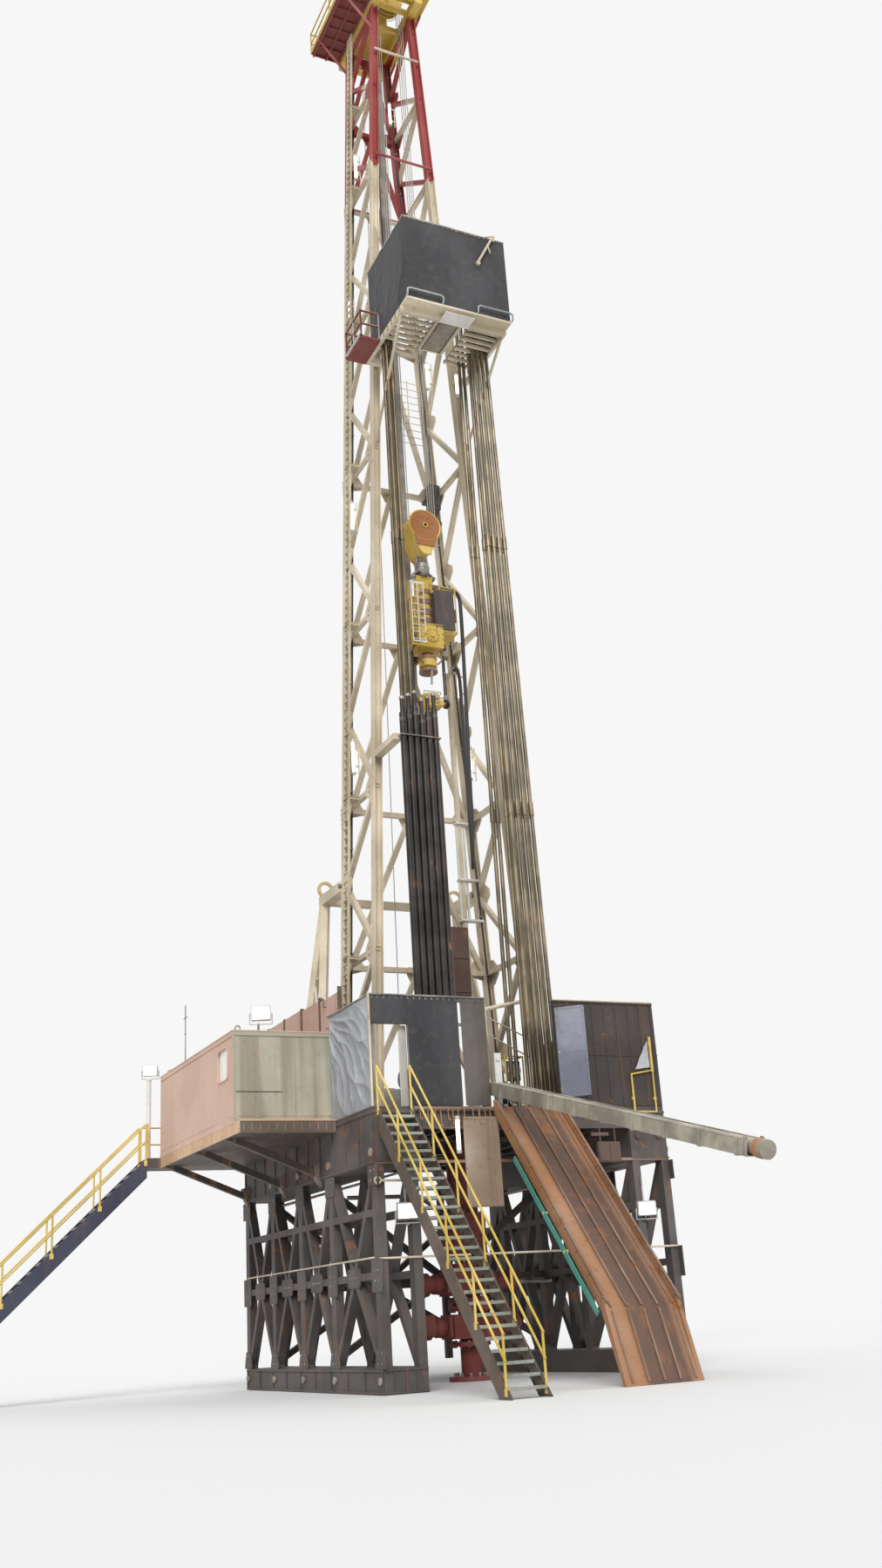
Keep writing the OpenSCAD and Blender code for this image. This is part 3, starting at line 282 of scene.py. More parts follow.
def make_finishes(p):
    """Makes every finish: a row has the maker and the values that follow the name."""
    rows = {
        "dark_steel": (painted, (0.060, 0.052, 0.048), 0.6, 0.6, 0.5, 0.55, 0.05),
        "deck_plate": (deck_plate, (0.12, 0.105, 0.09)),
        "worn_steel": (bare_steel, (0.42, 0.39, 0.35), 0.5, 0.38, 0.45, 0.7),
        "red_paint": (painted, tuple(p.mast_red), 0.3, 0.4),
        "cream_paint": (painted, tuple(p.mast_cream), 0.25, 0.45, 0.35),
        "mast_red_paint": (painted, tuple(p.mast_red), 0.2, 0.3),
        "ladder_paint": (painted, (0.52, 0.45, 0.30), 0.5, 0.5),
        "grey_paint": (painted, (0.115, 0.125, 0.135), 0.35, 0.4, 0.5, 0.42),
        "wire_rope": (rope_lay, (0.50, 0.47, 0.42)),
        "yellow_paint": (painted, tuple(p.yellow), 0.4, 0.5),
        "tarp": (canvas, (0.016, 0.016, 0.019)),
        "grey_tarp": (canvas, (0.30, 0.31, 0.33)),
        "bronze_pipe": (bare_steel, (0.15, 0.12, 0.07), 0.2, 0.32, 0.6, 0.75),
        "bright_pipe": (bare_steel, (0.27, 0.22, 0.145), 0.15, 0.28, 0.5, 0.7),
        "rust_paint": (painted, (0.16, 0.105, 0.075), 0.7, 0.7, 0.5),
        # Doghouse skid: everything below the floor's level is darker, a painted shade under the doghouse.
        "skid_paint": (painted, (0.50, 0.30, 0.18), 0.6, 0.7, 0.4, 0.5, 0.1, (0.085, 0.072, 0.062),
            lambda f: 1 - f.z.above(3.495, 3.50)),
        # Ramp: the dark strip down its middle is a painted shadow of the pipe trough above it.
        "ramp_face": (painted, (0.33, 0.155, 0.065), 0.7, 0.6, 0.5, 0.5, 0.06, (0.12, 0.065, 0.042),
            lambda f: 1 - (f.x - 0.12).size().above(0.24, 0.36)),
        "mast_top_paint": (painted, tuple(p.mast_red), 0.2, 0.3, 0.4, 0.5, 0.05, tuple(p.mast_cream),
            lambda f: f.z.above(22.30, 22.34) * (1 - f.z.above(23.86, 23.90)) * f.y.above(-0.135, -0.125)
            * (1 - f.y.above(0.985, 0.995))),
        "preventer_red": (painted, (0.19, 0.030, 0.024), 0.5, 0.6, 0.9, 0.6, 0.04),
        "link_dark": (bare_steel, (0.07, 0.062, 0.055), 0.1, 0.30, 0.5, 0.7),
        "trough_pale": (bare_steel, (0.50, 0.46, 0.37), 0.2, 0.42, 0.55, 0.45),
        "motor_dark": (painted, (0.055, 0.046, 0.042), 0.4, 0.5, 0.5, 0.5, 0.02),
        "block_face": (painted, (0.33, 0.115, 0.025), 0.5, 0.5, 0.5, 0.5, 0.02),
        "cap_orange": (painted, (0.60, 0.15, 0.05), 0.3, 0.3, 0.3, 0.5, 0.05),
        # Teal: painted light, the green lamp light on the side face of the ramp's stringer.
        "rail_teal": (painted, (0.045, 0.28, 0.22), 0.3, 0.4, 0.4, 0.45, 0.05),
        "white_paint": (painted, (0.72, 0.71, 0.66), 0.1, 0.3, 0.2, 0.45, 0.06),
        "rail_grey": (painted, (0.34, 0.35, 0.37), 0.2, 0.3, 0.3, 0.45),
        "door_cloth": (canvas, (0.40, 0.38, 0.34)),
        "salmon_paint": (painted, tuple(p.salmon), 0.0, 0.15, 0.05, 0.5, 0.05),
        # Window glass: its pale colour is painted light, the glow of the lit room behind it.
        "window_glass": (plain, (0.86, 0.86, 0.80), 0.10, 0.0, 0.05),
        "blue_paint": (painted, (0.018, 0.022, 0.075), 0.25, 0.3, 0.5, 0.45, 0.04),
        "rusty_steel": (painted, (0.20, 0.105, 0.055), 1.0, 0.9, 0.6),
        "brown_wall": (painted, (0.030, 0.022, 0.018), 0.3, 0.4, 0.4, 0.6, 0.02),
        "blue_grey_paint": (painted, (0.165, 0.18, 0.235), 0.2, 0.5, 0.5, 0.45),
        "beige_panel": (painted, (0.33, 0.25, 0.17), 0.2, 0.7, 0.5),
        "hose_rubber": (plain, (0.016, 0.016, 0.016), 0.5),
        "collar_steel": (bare_steel, (0.045, 0.038, 0.034), -0.1, 0.26, 0.45, 0.6),
        "brown_cabinet": (painted, (0.085, 0.042, 0.030), 0.4, 0.5, 0.5, 0.55, 0.03),
        "brown_side": (painted, (0.085, 0.060, 0.042), 0.5, 0.6, 0.5, 0.55, 0.05),
        "side_blue": (painted, (0.024, 0.028, 0.060), 0.25, 0.3, 0.5, 0.45, 0.03),
        "rail_yellow": (painted, (0.66, 0.47, 0.07), 0.3, 0.5, 0.4, 0.42),
        "tread_pale": (painted, (0.26, 0.29, 0.24), 0.5, 0.5, 0.6, 0.6),
        "tread_grey": (painted, (0.15, 0.155, 0.17), 0.5, 0.5, 0.6, 0.6),
        "rust_ring": (painted, (0.42, 0.17, 0.055), 0.9, 0.6, 0.5, 0.6),
        "speckled": (speckled,),
        "cream_streaked": (painted, (0.45, 0.42, 0.32), 0.1, 0.6, 0.35, 0.5, 0.08, (0.30, 0.275, 0.205),
            lambda f: f.noise(1.0, 2.0, 0.5, (4.0, 4.0, 0.2)).above(0.42, 0.60) * 0.8),
        "doghouse_trim": (painted, tuple(p.salmon), 0.0, 0.15, 0.05, 0.5, 0.05, (0.43, 0.40, 0.31),
            lambda f: 1 - f.y.above(-0.560, -0.556)),
        "wind_panel": (painted, (0.50, 0.345, 0.275), 0.2, 0.6, 0.4, 0.6, 0.06),
        "orange_lit": (painted, (0.62, 0.38, 0.20), 0.5, 0.8, 0.4),
        "tarp_lit": (canvas, (0.075, 0.062, 0.052)),
        "lamp_tube": (glowing, (1.0, 0.96, 0.84), p.lamp_glow),
        "lamp_case": (plain, (0.55, 0.55, 0.53), 0.4, 0.3),
    }
    for name, (maker, *values) in rows.items():
        FINISHES[name] = maker(name, *values)


NODE_FINISHES = {
    "doghouse_end_walls": "cream_streaked", "doghouse_base": "skid_paint", "wellhead": "preventer_red",
    "side_basket": "preventer_red", "links": "link_dark", "pipe_trough": "trough_pale",
    "trough_pipe": "trough_pale", "ramp": "ramp_face", "mast_top": "mast_top_paint"}


# Sizes shared by many pieces, in metres

FLOOR = 3.5
SIDE = 2.25
FRONT = -2.15
LEVELS = (3.5, 6.15, 8.8, 11.96, 15.12, 18.28, 21.44, 23.48, 25.52)
LEGS = (-0.21, 1.07)
BOARD = 16.81
CROWN_DECK = 25.74
SHEAVE_TOP = 26.03
SHEAVE_LOW = 13.72
LINE_X = 0.2503
LINE_PITCH = 0.084
LINE_RADIUS = 0.0079
HOSE_RADIUS = 0.032
EAR = 11.51

AXIS_TURN = {"X": (0, math.pi / 2, 0), "Y": (math.pi / 2, 0, 0), "Z": (0, 0, 0)}
PLANE_TURN = {"X": (math.pi / 2, 0, math.pi / 2), "Y": (math.pi / 2, 0, 0), "Z": (0, 0, 0)}


def half(z):
    """Half the mast's width at height z."""
    return 1.365 - (z - FLOOR) * 0.965 / 22.02


def around(count, radius, phase=0.0):
    """Points at even steps round a circle."""
    for k in range(count):
        a = (k + phase) * math.tau / count
        yield radius * math.cos(a), radius * math.sin(a)


# Mesh helpers

def deselect():
    if bpy.context.object and bpy.context.object.mode != "OBJECT":
        bpy.ops.object.mode_set(mode="OBJECT")
    bpy.ops.object.select_all(action="DESELECT")


def pick(*pieces):
    """Selects these pieces alone and makes the first of them active."""
    deselect()
    for piece in pieces:
        piece.select_set(True)
    bpy.context.view_layer.objects.active = pieces[0]
    return pieces[0]


def settle(piece):
    """Puts the object's place into its mesh."""
    pick(piece)
    bpy.ops.object.transform_apply(location=True, rotation=True, scale=True)
    return piece


def modified(piece, kind, **settings):
    """Applies one modifier to a piece."""
    mod = pick(piece).modifiers.new("step", kind)
    for key, value in settings.items():
        setattr(mod, key, value)
    bpy.ops.object.modifier_apply(modifier=mod.name)
    return piece


def bevelled(piece, width):
    return modified(piece, "BEVEL", width=width, limit_method="ANGLE")


def row(piece, count, step):
    """Repeats a piece along a line."""
    return modified(
        piece, "ARRAY", use_relative_offset=False, use_constant_offset=True, constant_offset_displace=step,
        count=count)


def both(piece):
    """Adds the mirror image across the rig's middle plane."""
    return modified(settle(piece), "MIRROR", use_mirror_merge=False)


def joined(parts):
    """Joins meshes into the first of them."""
    pick(*parts)
    if len(parts) > 1:
        bpy.ops.object.join()
    return parts[0]


def dress(piece, finish):
    piece.data.materials.clear()
    piece.data.materials.append(FINISHES[finish])


def finished(piece, name, finish, body=ROOT):
    """Names a piece, gives it its finish and the body that it rides on."""
    settle(piece)
    piece.name = name
    dress(piece, finish)
    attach(piece, body)
    return piece


def made(parts, name, finish, body=ROOT):
    """Joins meshes into one finished piece."""
    return finished(joined(parts), name, finish, body)


def paired(parts, name, finish):
    """Joins meshes, with their mirror image, into one finished piece."""
    return finished(both(joined(parts)), name, finish)


def laid(place, parts, name, finish, body=ROOT):
    """Joins meshes that were drawn flat and turns them into their place."""
    piece = joined(parts)
    piece.matrix_world = place
    return finished(piece, name, finish, body)


def plate(low, high, bevel=0.004):
    """A plate or beam between two corners with its edges broken."""
    low, high = Vector(low), Vector(high)
    deselect()
    bpy.ops.mesh.primitive_cube_add(size=1, location=(low + high) / 2)
    piece = bpy.context.object
    piece.scale = [max(abs(b - a), 1e-4) for a, b in zip(low, high)]
    settle(piece)
    return bevelled(piece, bevel) if bevel else piece


def drum(centre, radius, length, axis="Z", sides=24, bevel=0.0):
    """A round body centred on a point with its axis along X, Y or Z."""
    deselect()
    bpy.ops.mesh.primitive_cylinder_add(
        vertices=sides, radius=radius, depth=length, location=centre, rotation=AXIS_TURN[axis])
    piece = settle(bpy.context.object)
    return bevelled(piece, bevel) if bevel else piece


def ring(centre, radius, thick, axis, sides):
    """A round bar bent into a hoop."""
    deselect()
    bpy.ops.mesh.primitive_torus_add(
        major_radius=radius, minor_radius=thick, major_segments=sides, minor_segments=8, location=centre,
        rotation=AXIS_TURN[axis])
    return settle(bpy.context.object)


def drawn(points, closed, turn=(0, 0, 0), spot=(0, 0, 0), **settings):
    """The mesh of a curve through the points."""
    curve = bpy.data.curves.new("run", "CURVE")
    for key, value in settings.items():
        setattr(curve, key, value)
    line = curve.splines.new("POLY")
    line.points.add(len(points) - 1)
    for end, point in zip(line.points, points):
        end.co = (*point, 1.0)
    line.use_cyclic_u = closed
    piece = bpy.data.objects.new("run", curve)
    piece.rotation_euler = turn
    piece.location = spot
    bpy.context.scene.collection.objects.link(piece)
    pick(piece)
    bpy.ops.object.convert(target="MESH")
    return bpy.context.object


def tube(points, radius, sides=10, closed=False, cap=True):
    """A round bar bent through the points."""
    return drawn(
        points, closed, dimensions="3D", bevel_depth=radius, bevel_resolution=max(0, sides // 2 - 2),
        use_fill_caps=cap)


def cutout(points, thick, axis, level):
    """A flat plate with a drawn outline, its middle plane square to the axis."""
    spot = [level if axis == name else 0 for name in "XYZ"]
    return settle(drawn(
        [(*p, 0.0) for p in points], True, PLANE_TURN[axis], spot, dimensions="2D", fill_mode="BOTH",
        extrude=thick / 2))


def bolt(spot, axis, size, thick=0.014):
    """A hexagon head with its washer."""
    head = drum(spot, size, thick, axis, 6, 0.002)
    washer = drum(spot, size * 1.35, thick * 0.4, axis, 12)
    return joined([head, washer])


def rail_run(corners, bay):
    """A tubular handrail over a line of corners, with posts at most a bay apart."""
    height, radius = bpy.context.scene.rig_settings.rail_height, bpy.context.scene.rig_settings.rail_radius
    parts = [tube([Vector(c) + Vector((0, 0, height * h)) for c in corners], radius) for h in (0.5, 1.0)]
    for start, end in zip(corners, corners[1:]):
        start, end = Vector(start), Vector(end)
        count = max(1, math.ceil((end - start).length / bay))
        for i in range(count + 1):
            foot = start.lerp(end, i / count)
            parts.append(tube([foot, foot + Vector((0, 0, height))], radius))
            parts.append(drum(foot + Vector((0, 0, 0.006)), radius * 2.2, 0.012))
    return joined(parts)


def smooth_path(points, step):
    """The same curve through the points as the frame's hose."""
    points = [Vector(p) for p in points]
    last = len(points) - 1
    line = []
    for i in range(last):
        a, b, c, d = (points[max(0, min(last, k))] for k in (i - 1, i, i + 1, i + 2))
        count = math.ceil((c - b).length / step)
        for k in range(count):
            t = k / count
            line.append(
                b + (c - a) * t / 2 + (2 * a - 5 * b + 4 * c - d) * t * t / 2
                + (3 * b - a - 3 * c + d) * t * t * t / 2)
    return line + [points[last]]


def lamp(spot, name, length):
    """An upright strip lamp between two end caps, with its guard wires."""
    spot, along = Vector(spot), Vector((0, 0, length))
    radius = bpy.context.scene.rig_settings.lamp_radius
    glow = drum(spot, radius, length, "Z", 20, 0.006)
    finished(glow, name + "_glow", "lamp_tube", ROOT)
    caps = [
        drum(spot + Vector((0, 0, s * (length / 2 + 0.02))), radius * 1.3, 0.05, "Z", 20, 0.006)
        for s in (-1, 1)]
    caps += [ring(spot + along * k / 4, radius * 1.25, 0.003, "Z", 16) for k in (-1, 0, 1)]
    made(caps, name + "_case", "lamp_case", ROOT)


def flood(spot, name, toward, size):
    """A flood lamp: ribbed case, glass and yoke, looking along a direction."""
    case = plate((-size, 0, -size * 0.75), (size, size * 0.8, size * 0.75), 0.012)
    fins = row(
        plate((-size * 0.9, size * 0.78, -size * 0.6), (-size * 0.86, size * 1.1, size * 0.6), 0), 8,
        (size * 0.25, 0, 0))
    yoke = tube([
        (-size * 1.12, size * 0.4, 0), (-size * 1.12, size * 0.4, -size * 1.1),
        (size * 1.12, size * 0.4, -size * 1.1), (size * 1.12, size * 0.4, 0)], 0.010, 8)
    glass = plate((-size * 0.86, -0.006, -size * 0.62), (size * 0.86, 0.004, size * 0.62))
    turn = Vector(toward).normalized().to_track_quat("-Y", "Z").to_matrix().to_4x4()
    place = Matrix.Translation(spot) @ turn
    laid(place, [case, fins, yoke], name + "_case", "lamp_case", ROOT)
    laid(place, [glass], name + "_glass", "lamp_tube", ROOT)


# Stage

def photo_camera(data):
    """The camera that was solved from the photograph, in metres of the model."""
    yaw, pitch, roll = 0.457, 0.355, 0.064
    forward = Vector((math.sin(yaw) * math.cos(pitch), math.cos(yaw) * math.cos(pitch), math.sin(pitch)))
    level = Vector((math.cos(yaw), -math.sin(yaw), 0.0))
    up = level.cross(forward)
    right = math.cos(roll) * level - math.sin(roll) * up
    above = math.sin(roll) * level + math.cos(roll) * up
    camera = bpy.data.objects.new("photo_camera", data)
    turn = Matrix((right, above, -forward)).transposed().to_4x4()
    camera.matrix_world = Matrix.Translation((-9.667, -19.864, 0.816)) @ turn
    return camera


class RigSettings(bpy.types.PropertyGroup):
    """Paints, and sizes of fittings, that a user may change."""

    mast_cream: bpy.props.FloatVectorProperty(
        name="Mast Cream", description="Paint of the mast and the doghouse's end", subtype="COLOR", size=3,
        default=(0.62, 0.53, 0.38), min=0, max=1)
    mast_red: bpy.props.FloatVectorProperty(
        name="Mast Red", description="Paint of the upper mast", subtype="COLOR", size=3,
        default=(0.32, 0.028, 0.022), min=0, max=1)
    yellow: bpy.props.FloatVectorProperty(
        name="Machine Yellow", description="Paint of the block, the rails and the crown", subtype="COLOR",
        size=3, default=(0.62, 0.42, 0.045), min=0, max=1)
    salmon: bpy.props.FloatVectorProperty(
        name="Doghouse Salmon", description="Paint of the doghouse's long walls", subtype="COLOR", size=3,
        default=(0.64, 0.43, 0.33), min=0, max=1)
    lamp_glow: bpy.props.FloatProperty(
        name="Lamp Glow", description="Strength of the lamps' faces", default=2.2, min=0, max=20)
    lamp_radius: bpy.props.FloatProperty(
        name="Lamp Radius", description="Radius of a strip lamp", unit="LENGTH", default=0.028, min=0.01,
        max=0.06)
    rail_height: bpy.props.FloatProperty(
        name="Rail Height", description="Height of a handrail over its deck or stair", unit="LENGTH",
        default=0.53, min=0.3, max=0.7)
    rail_radius: bpy.props.FloatProperty(
        name="Rail Radius", description="Radius of a handrail's tube", unit="LENGTH", default=0.013,
        min=0.006, max=0.03)


class RIG_OT_finishes(bpy.types.Operator):
    """Gives every node of the frame its finish"""

    bl_idname = "rig.finishes"
    bl_label = "Finishes"

    def execute(self, context):
        make_finishes(context.scene.rig_settings)
        slots = {s["node"]: s["material_slot"] for s in frame["record"]["subparts"]}
        for name, node in frame["nodes"].items():
            dress(node, NODE_FINISHES.get(name, slots[name]))
        return {"FINISHED"}


class RIG_OT_stage(bpy.types.Operator):
    """Adds the floor, the lamps and the photograph's camera"""

    bl_idname = "rig.stage"
    bl_label = "Stage"

    def execute(self, context):
        deselect()
        bpy.ops.mesh.primitive_plane_add(size=400, location=(0, 0, -0.002))
        floor = bpy.context.object
        floor.name = "studio_floor"
        finish = Finish("studio_floor")
        finish.wear((0.80, 0.80, 0.80), 0.9, 0.0)
        floor.data.materials.append(finish.material)
        for name, strength, angle, turn in (
                ("key", 2.3, 30, (52, 0, -28)), ("fill", 0.7, 60, (60, 0, 65)),
                ("back", 0.5, 60, (55, 0, 160))):
            lamp = bpy.data.lights.new(name, "SUN")
            lamp.energy = strength
            lamp.angle = math.radians(angle)
            holder = bpy.data.objects.new(name, lamp)
            holder.rotation_euler = Euler([math.radians(a) for a in turn])
            context.scene.collection.objects.link(holder)
        world = bpy.data.worlds.new("studio")
        world.use_nodes = True
        nodes, links = world.node_tree.nodes, world.node_tree.links
        nodes.clear()
        path = nodes.new("ShaderNodeLightPath")
        seen = path.outputs["Is Camera Ray"]
        for ray in ("Is Glossy Ray", "Is Transmission Ray"):
            either = nodes.new("ShaderNodeMath")
            either.operation = "MAXIMUM"
            links.new(seen, either.inputs[0])
            links.new(path.outputs[ray], either.inputs[1])
            seen = either.outputs[0]
        dim = nodes.new("ShaderNodeBackground")
        dim.inputs["Strength"].default_value = 0.55
        white = nodes.new("ShaderNodeBackground")
        white.inputs["Color"].default_value = (0.93, 0.93, 0.93, 1)
        chosen = nodes.new("ShaderNodeMixShader")
        out = nodes.new("ShaderNodeOutputWorld")
        links.new(seen, chosen.inputs[0])
        links.new(dim.outputs[0], chosen.inputs[1])
        links.new(white.outputs[0], chosen.inputs[2])
        links.new(chosen.outputs[0], out.inputs["Surface"])
        context.scene.world = world
        data = bpy.data.cameras.new("photo_camera")
        data.lens = 33.183
        data.sensor_width = 36
        data.clip_end = 500
        camera = photo_camera(data)
        context.scene.collection.objects.link(camera)
        context.scene.camera = camera
        context.scene.view_settings.view_transform = "Standard"
        return {"FINISHED"}


HOSE = (
    (0.860, 0.7297, 11.5), (0.860, 0.6497, 11.5), (0.860, 0.600, 11.42), (0.860, 0.560, 11.28),
    (0.860, 0.545, 11.0), (0.860, 0.540, 10.0), (0.855, 0.530, 9.0), (0.845, 0.505, 8.25),
    (0.820, 0.460, 7.88), (0.780, 0.390, 7.76), (0.745, 0.300, 7.93), (0.730, 0.220, 8.5),
    (0.720, 0.150, 9.5), (0.715, 0.090, 10.7), (0.710, 0.040, 11.8), (0.700, 0.015, 12.35),
    (0.675, 0.0, 12.55), (0.600, 0.0, 12.64), (0.520, 0.0, 12.64))


class RIG_OT_hose(bpy.types.Operator):
    """Hangs the mud hose between the standpipe's neck and the top drive"""

    bl_idname = "rig.hose"
    bl_label = "Mud Hose"

    def execute(self, context):
        path = smooth_path(HOSE, 0.09)
        hose = tube(path, HOSE_RADIUS, 14)
        hose.name = "hose"
        dress(hose, "hose_rubber")
        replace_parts(hose, "mud_hose")
        length = sum((b - a).length for a, b in zip(path, path[1:]))
        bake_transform(hose)
        for name, start, axis, body in (
                ("neck_union", HOSE[0], "Y", ROOT), ("drive_union", HOSE[-1], "X", "hoist")):
            start = Vector(start)
            out = Vector((0, 1, 0)) if axis == "Y" else Vector((-1, 0, 0))
            parts = [
                drum(start + out * 0.03, 0.066, 0.05, axis, 8, 0.006),
                drum(start + out * 0.075, 0.056, 0.04, axis, 24, 0.004)]
            for u, w in around(3, 0.075):
                lug = (u, 0, w) if axis == "Y" else (0, u, w)
                parts.append(drum(start + out * 0.03 + Vector(lug), 0.014, 0.04, axis, 8, 0.003))
            made(parts, name, "worn_steel", body)
        return {"FINISHED"}


class RIG_OT_drill_lines(bpy.types.Operator):
    """Reeves the drill line between the crown and the block"""

    bl_idname = "rig.drill_lines"
    bl_label = "Drill Lines"

    def execute(self, context):
        ends = (SHEAVE_LOW, SHEAVE_TOP)
        lines = joined([
            tube([(x, (i - 1.5) * LINE_PITCH, z) for z in ends], LINE_RADIUS, 12, cap=False)
            for x in (-LINE_X, LINE_X) for i in range(4)])
        lines.name = "lines"
        dress(lines, "wire_rope")
        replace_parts(lines, "drill_lines")
        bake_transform(lines)
        made([self.wrap(i, SHEAVE_TOP, 0) for i in range(4)], "line_over_crown", "wire_rope")
        made([self.wrap(i, SHEAVE_LOW, math.pi) for i in range(4)], "line_under_block", "wire_rope", "hoist")
        path = [
            (0, 1.108 - LINE_X * math.cos(a), SHEAVE_TOP + LINE_X * math.sin(a))
            for a in (math.pi * k / 24 for k in range(25))]
        finished(tube(path, 0.008, 12), "line_over_fast_sheave", "wire_rope")
        coil = [ring((-0.50 + 0.0172 * k, 2.3, 4.12), 0.337, 0.0078, "X", 40) for k in range(28)]
        made(coil, "line_on_drum", "wire_rope")
        return {"FINISHED"}

    def wrap(self, i, z, start):
        """Half a turn of line number i round a sheave whose pin is at height z."""
        turns = [start + math.pi * k / 20 for k in range(21)]
        return tube(
            [(LINE_X * math.cos(a), (i - 1.5) * LINE_PITCH, z + LINE_X * math.sin(a)) for a in turns],
            LINE_RADIUS, 10, cap=False)


class RIG_OT_mast_joints(bpy.types.Operator):
    """Adds gussets, splices and bolts where the mast's bars meet"""

    bl_idname = "rig.mast_joints"
    bl_label = "Mast Joints"

    def execute(self, context):
        for name, finish, first, last in (("cream", "cream_paint", 0, 6), ("red", "mast_red_paint", 6, 8)):
            plates, bolts, pads = [], [], []
            for i in range(first + (name == "red"), last + 1):
                z = LEVELS[i]
                inner = 0 < i < len(LEVELS) - 1
                for leg, way in ((LEGS[0], 1), (LEGS[1], -1)):
                    plates.append(self.gusset(
                        z, leg + way * 0.07, way, 0.21 if inner else 0.12, i == 8, i == 0))
                    bolts.append(self.cluster(
                        z if inner else z + (0.07 if i == 0 else -0.07), leg + way * 0.11, way))
                if i < last:
                    middle = (z + LEVELS[i + 1]) / 2
                    plates.append(self.gusset(middle, LEGS[1] - 0.07, -1, 0.19, False, False))
                    bolts.append(self.cluster(middle, LEGS[1] - 0.11, -1))
                if inner and i % 2 == 0:
                    pads += [self.splice(z - 0.35, leg) for leg in LEGS]
            paired(plates + pads, f"side_gussets_{name}", finish)
            paired(bolts, f"side_bolts_{name}", "worn_steel")
            rear, nuts = [], []
            for i in range(first + 1, last + 1):
                z = LEVELS[i]
                rear.append(cutout([
                    (-0.20, z - 0.02), (-0.12, z - 0.20), (0.12, z - 0.20), (0.20, z - 0.02),
                    (0.16, z + 0.07), (-0.16, z + 0.07)], 0.012, "Y", LEGS[1] + 0.044))
                nuts.append(row(
                    row(bolt((-0.09, LEGS[1] + 0.055, z - 0.11), "Y", 0.013), 3, (0.09, 0, 0)), 2,
                    (0, 0, 0.11)))
                if i < last:
                    x = half(z)
                    side = cutout([
                        (x - 0.07, z - 0.10), (x - 0.32, z - 0.03), (x - 0.32, z + 0.05),
                        (x - 0.20, z + 0.24), (x - 0.08, z + 0.28)], 0.012, "Y", LEGS[1] + 0.044)
                    rear.append(both(side))
                    nuts.append(both(row(
                        row(bolt((x - 0.21, LEGS[1] + 0.055, z), "Y", 0.013), 2, (0.08, 0, 0)), 2,
                        (0, 0, 0.10))))
            made(rear, f"rear_gussets_{name}", finish)
            made(nuts, f"rear_bolts_{name}", "worn_steel")
        return {"FINISHED"}

    def gusset(self, z, edge, way, tall, cut_top, cut_low):
        high = 0.03 if cut_top else tall
        low = 0.0 if cut_low else -tall
        outline = [
            (edge, z + low), (edge + way * 0.10, z + low), (edge + way * 0.27, z + max(low, -0.06)),
            (edge + way * 0.27, z + min(high, 0.06)), (edge + way * 0.10, z + high), (edge, z + high)]
        return cutout(outline if way > 0 else outline[::-1], 0.018, "X", -half(z) - 0.043)

    def cluster(self, z, y, way):
        return row(
            row(bolt((-half(z) - 0.056, y, z - 0.05), "X", 0.013), 2, (0.0, way * 0.09, 0.0)), 2,
            (0, 0, 0.10))

    def splice(self, z, leg):
        x = -half(z + 0.2) - 0.074
        pad = plate((x - 0.008, leg - 0.058, z), (x + 0.012, leg + 0.058, z + 0.42), 0.003)
        nuts = row(
            row(bolt((x - 0.012, leg - 0.035, z + 0.05), "X", 0.012), 2, (0, 0.07, 0)), 5, (0, 0, 0.08))
        return joined([pad, nuts])


MAST_LAMPS = (
    (-1, 0.46, 21.95), (-1, 0.75, 18.70), (-1, 0.60, 14.15), (-1, 0.52, 9.55), (1, 0.88, 24.05),
    (1, 0.70, 20.70), (1, 0.57, 17.50), (1, 0.77, 12.80), (1, 0.68, 11.20), (1, 0.61, 9.70))


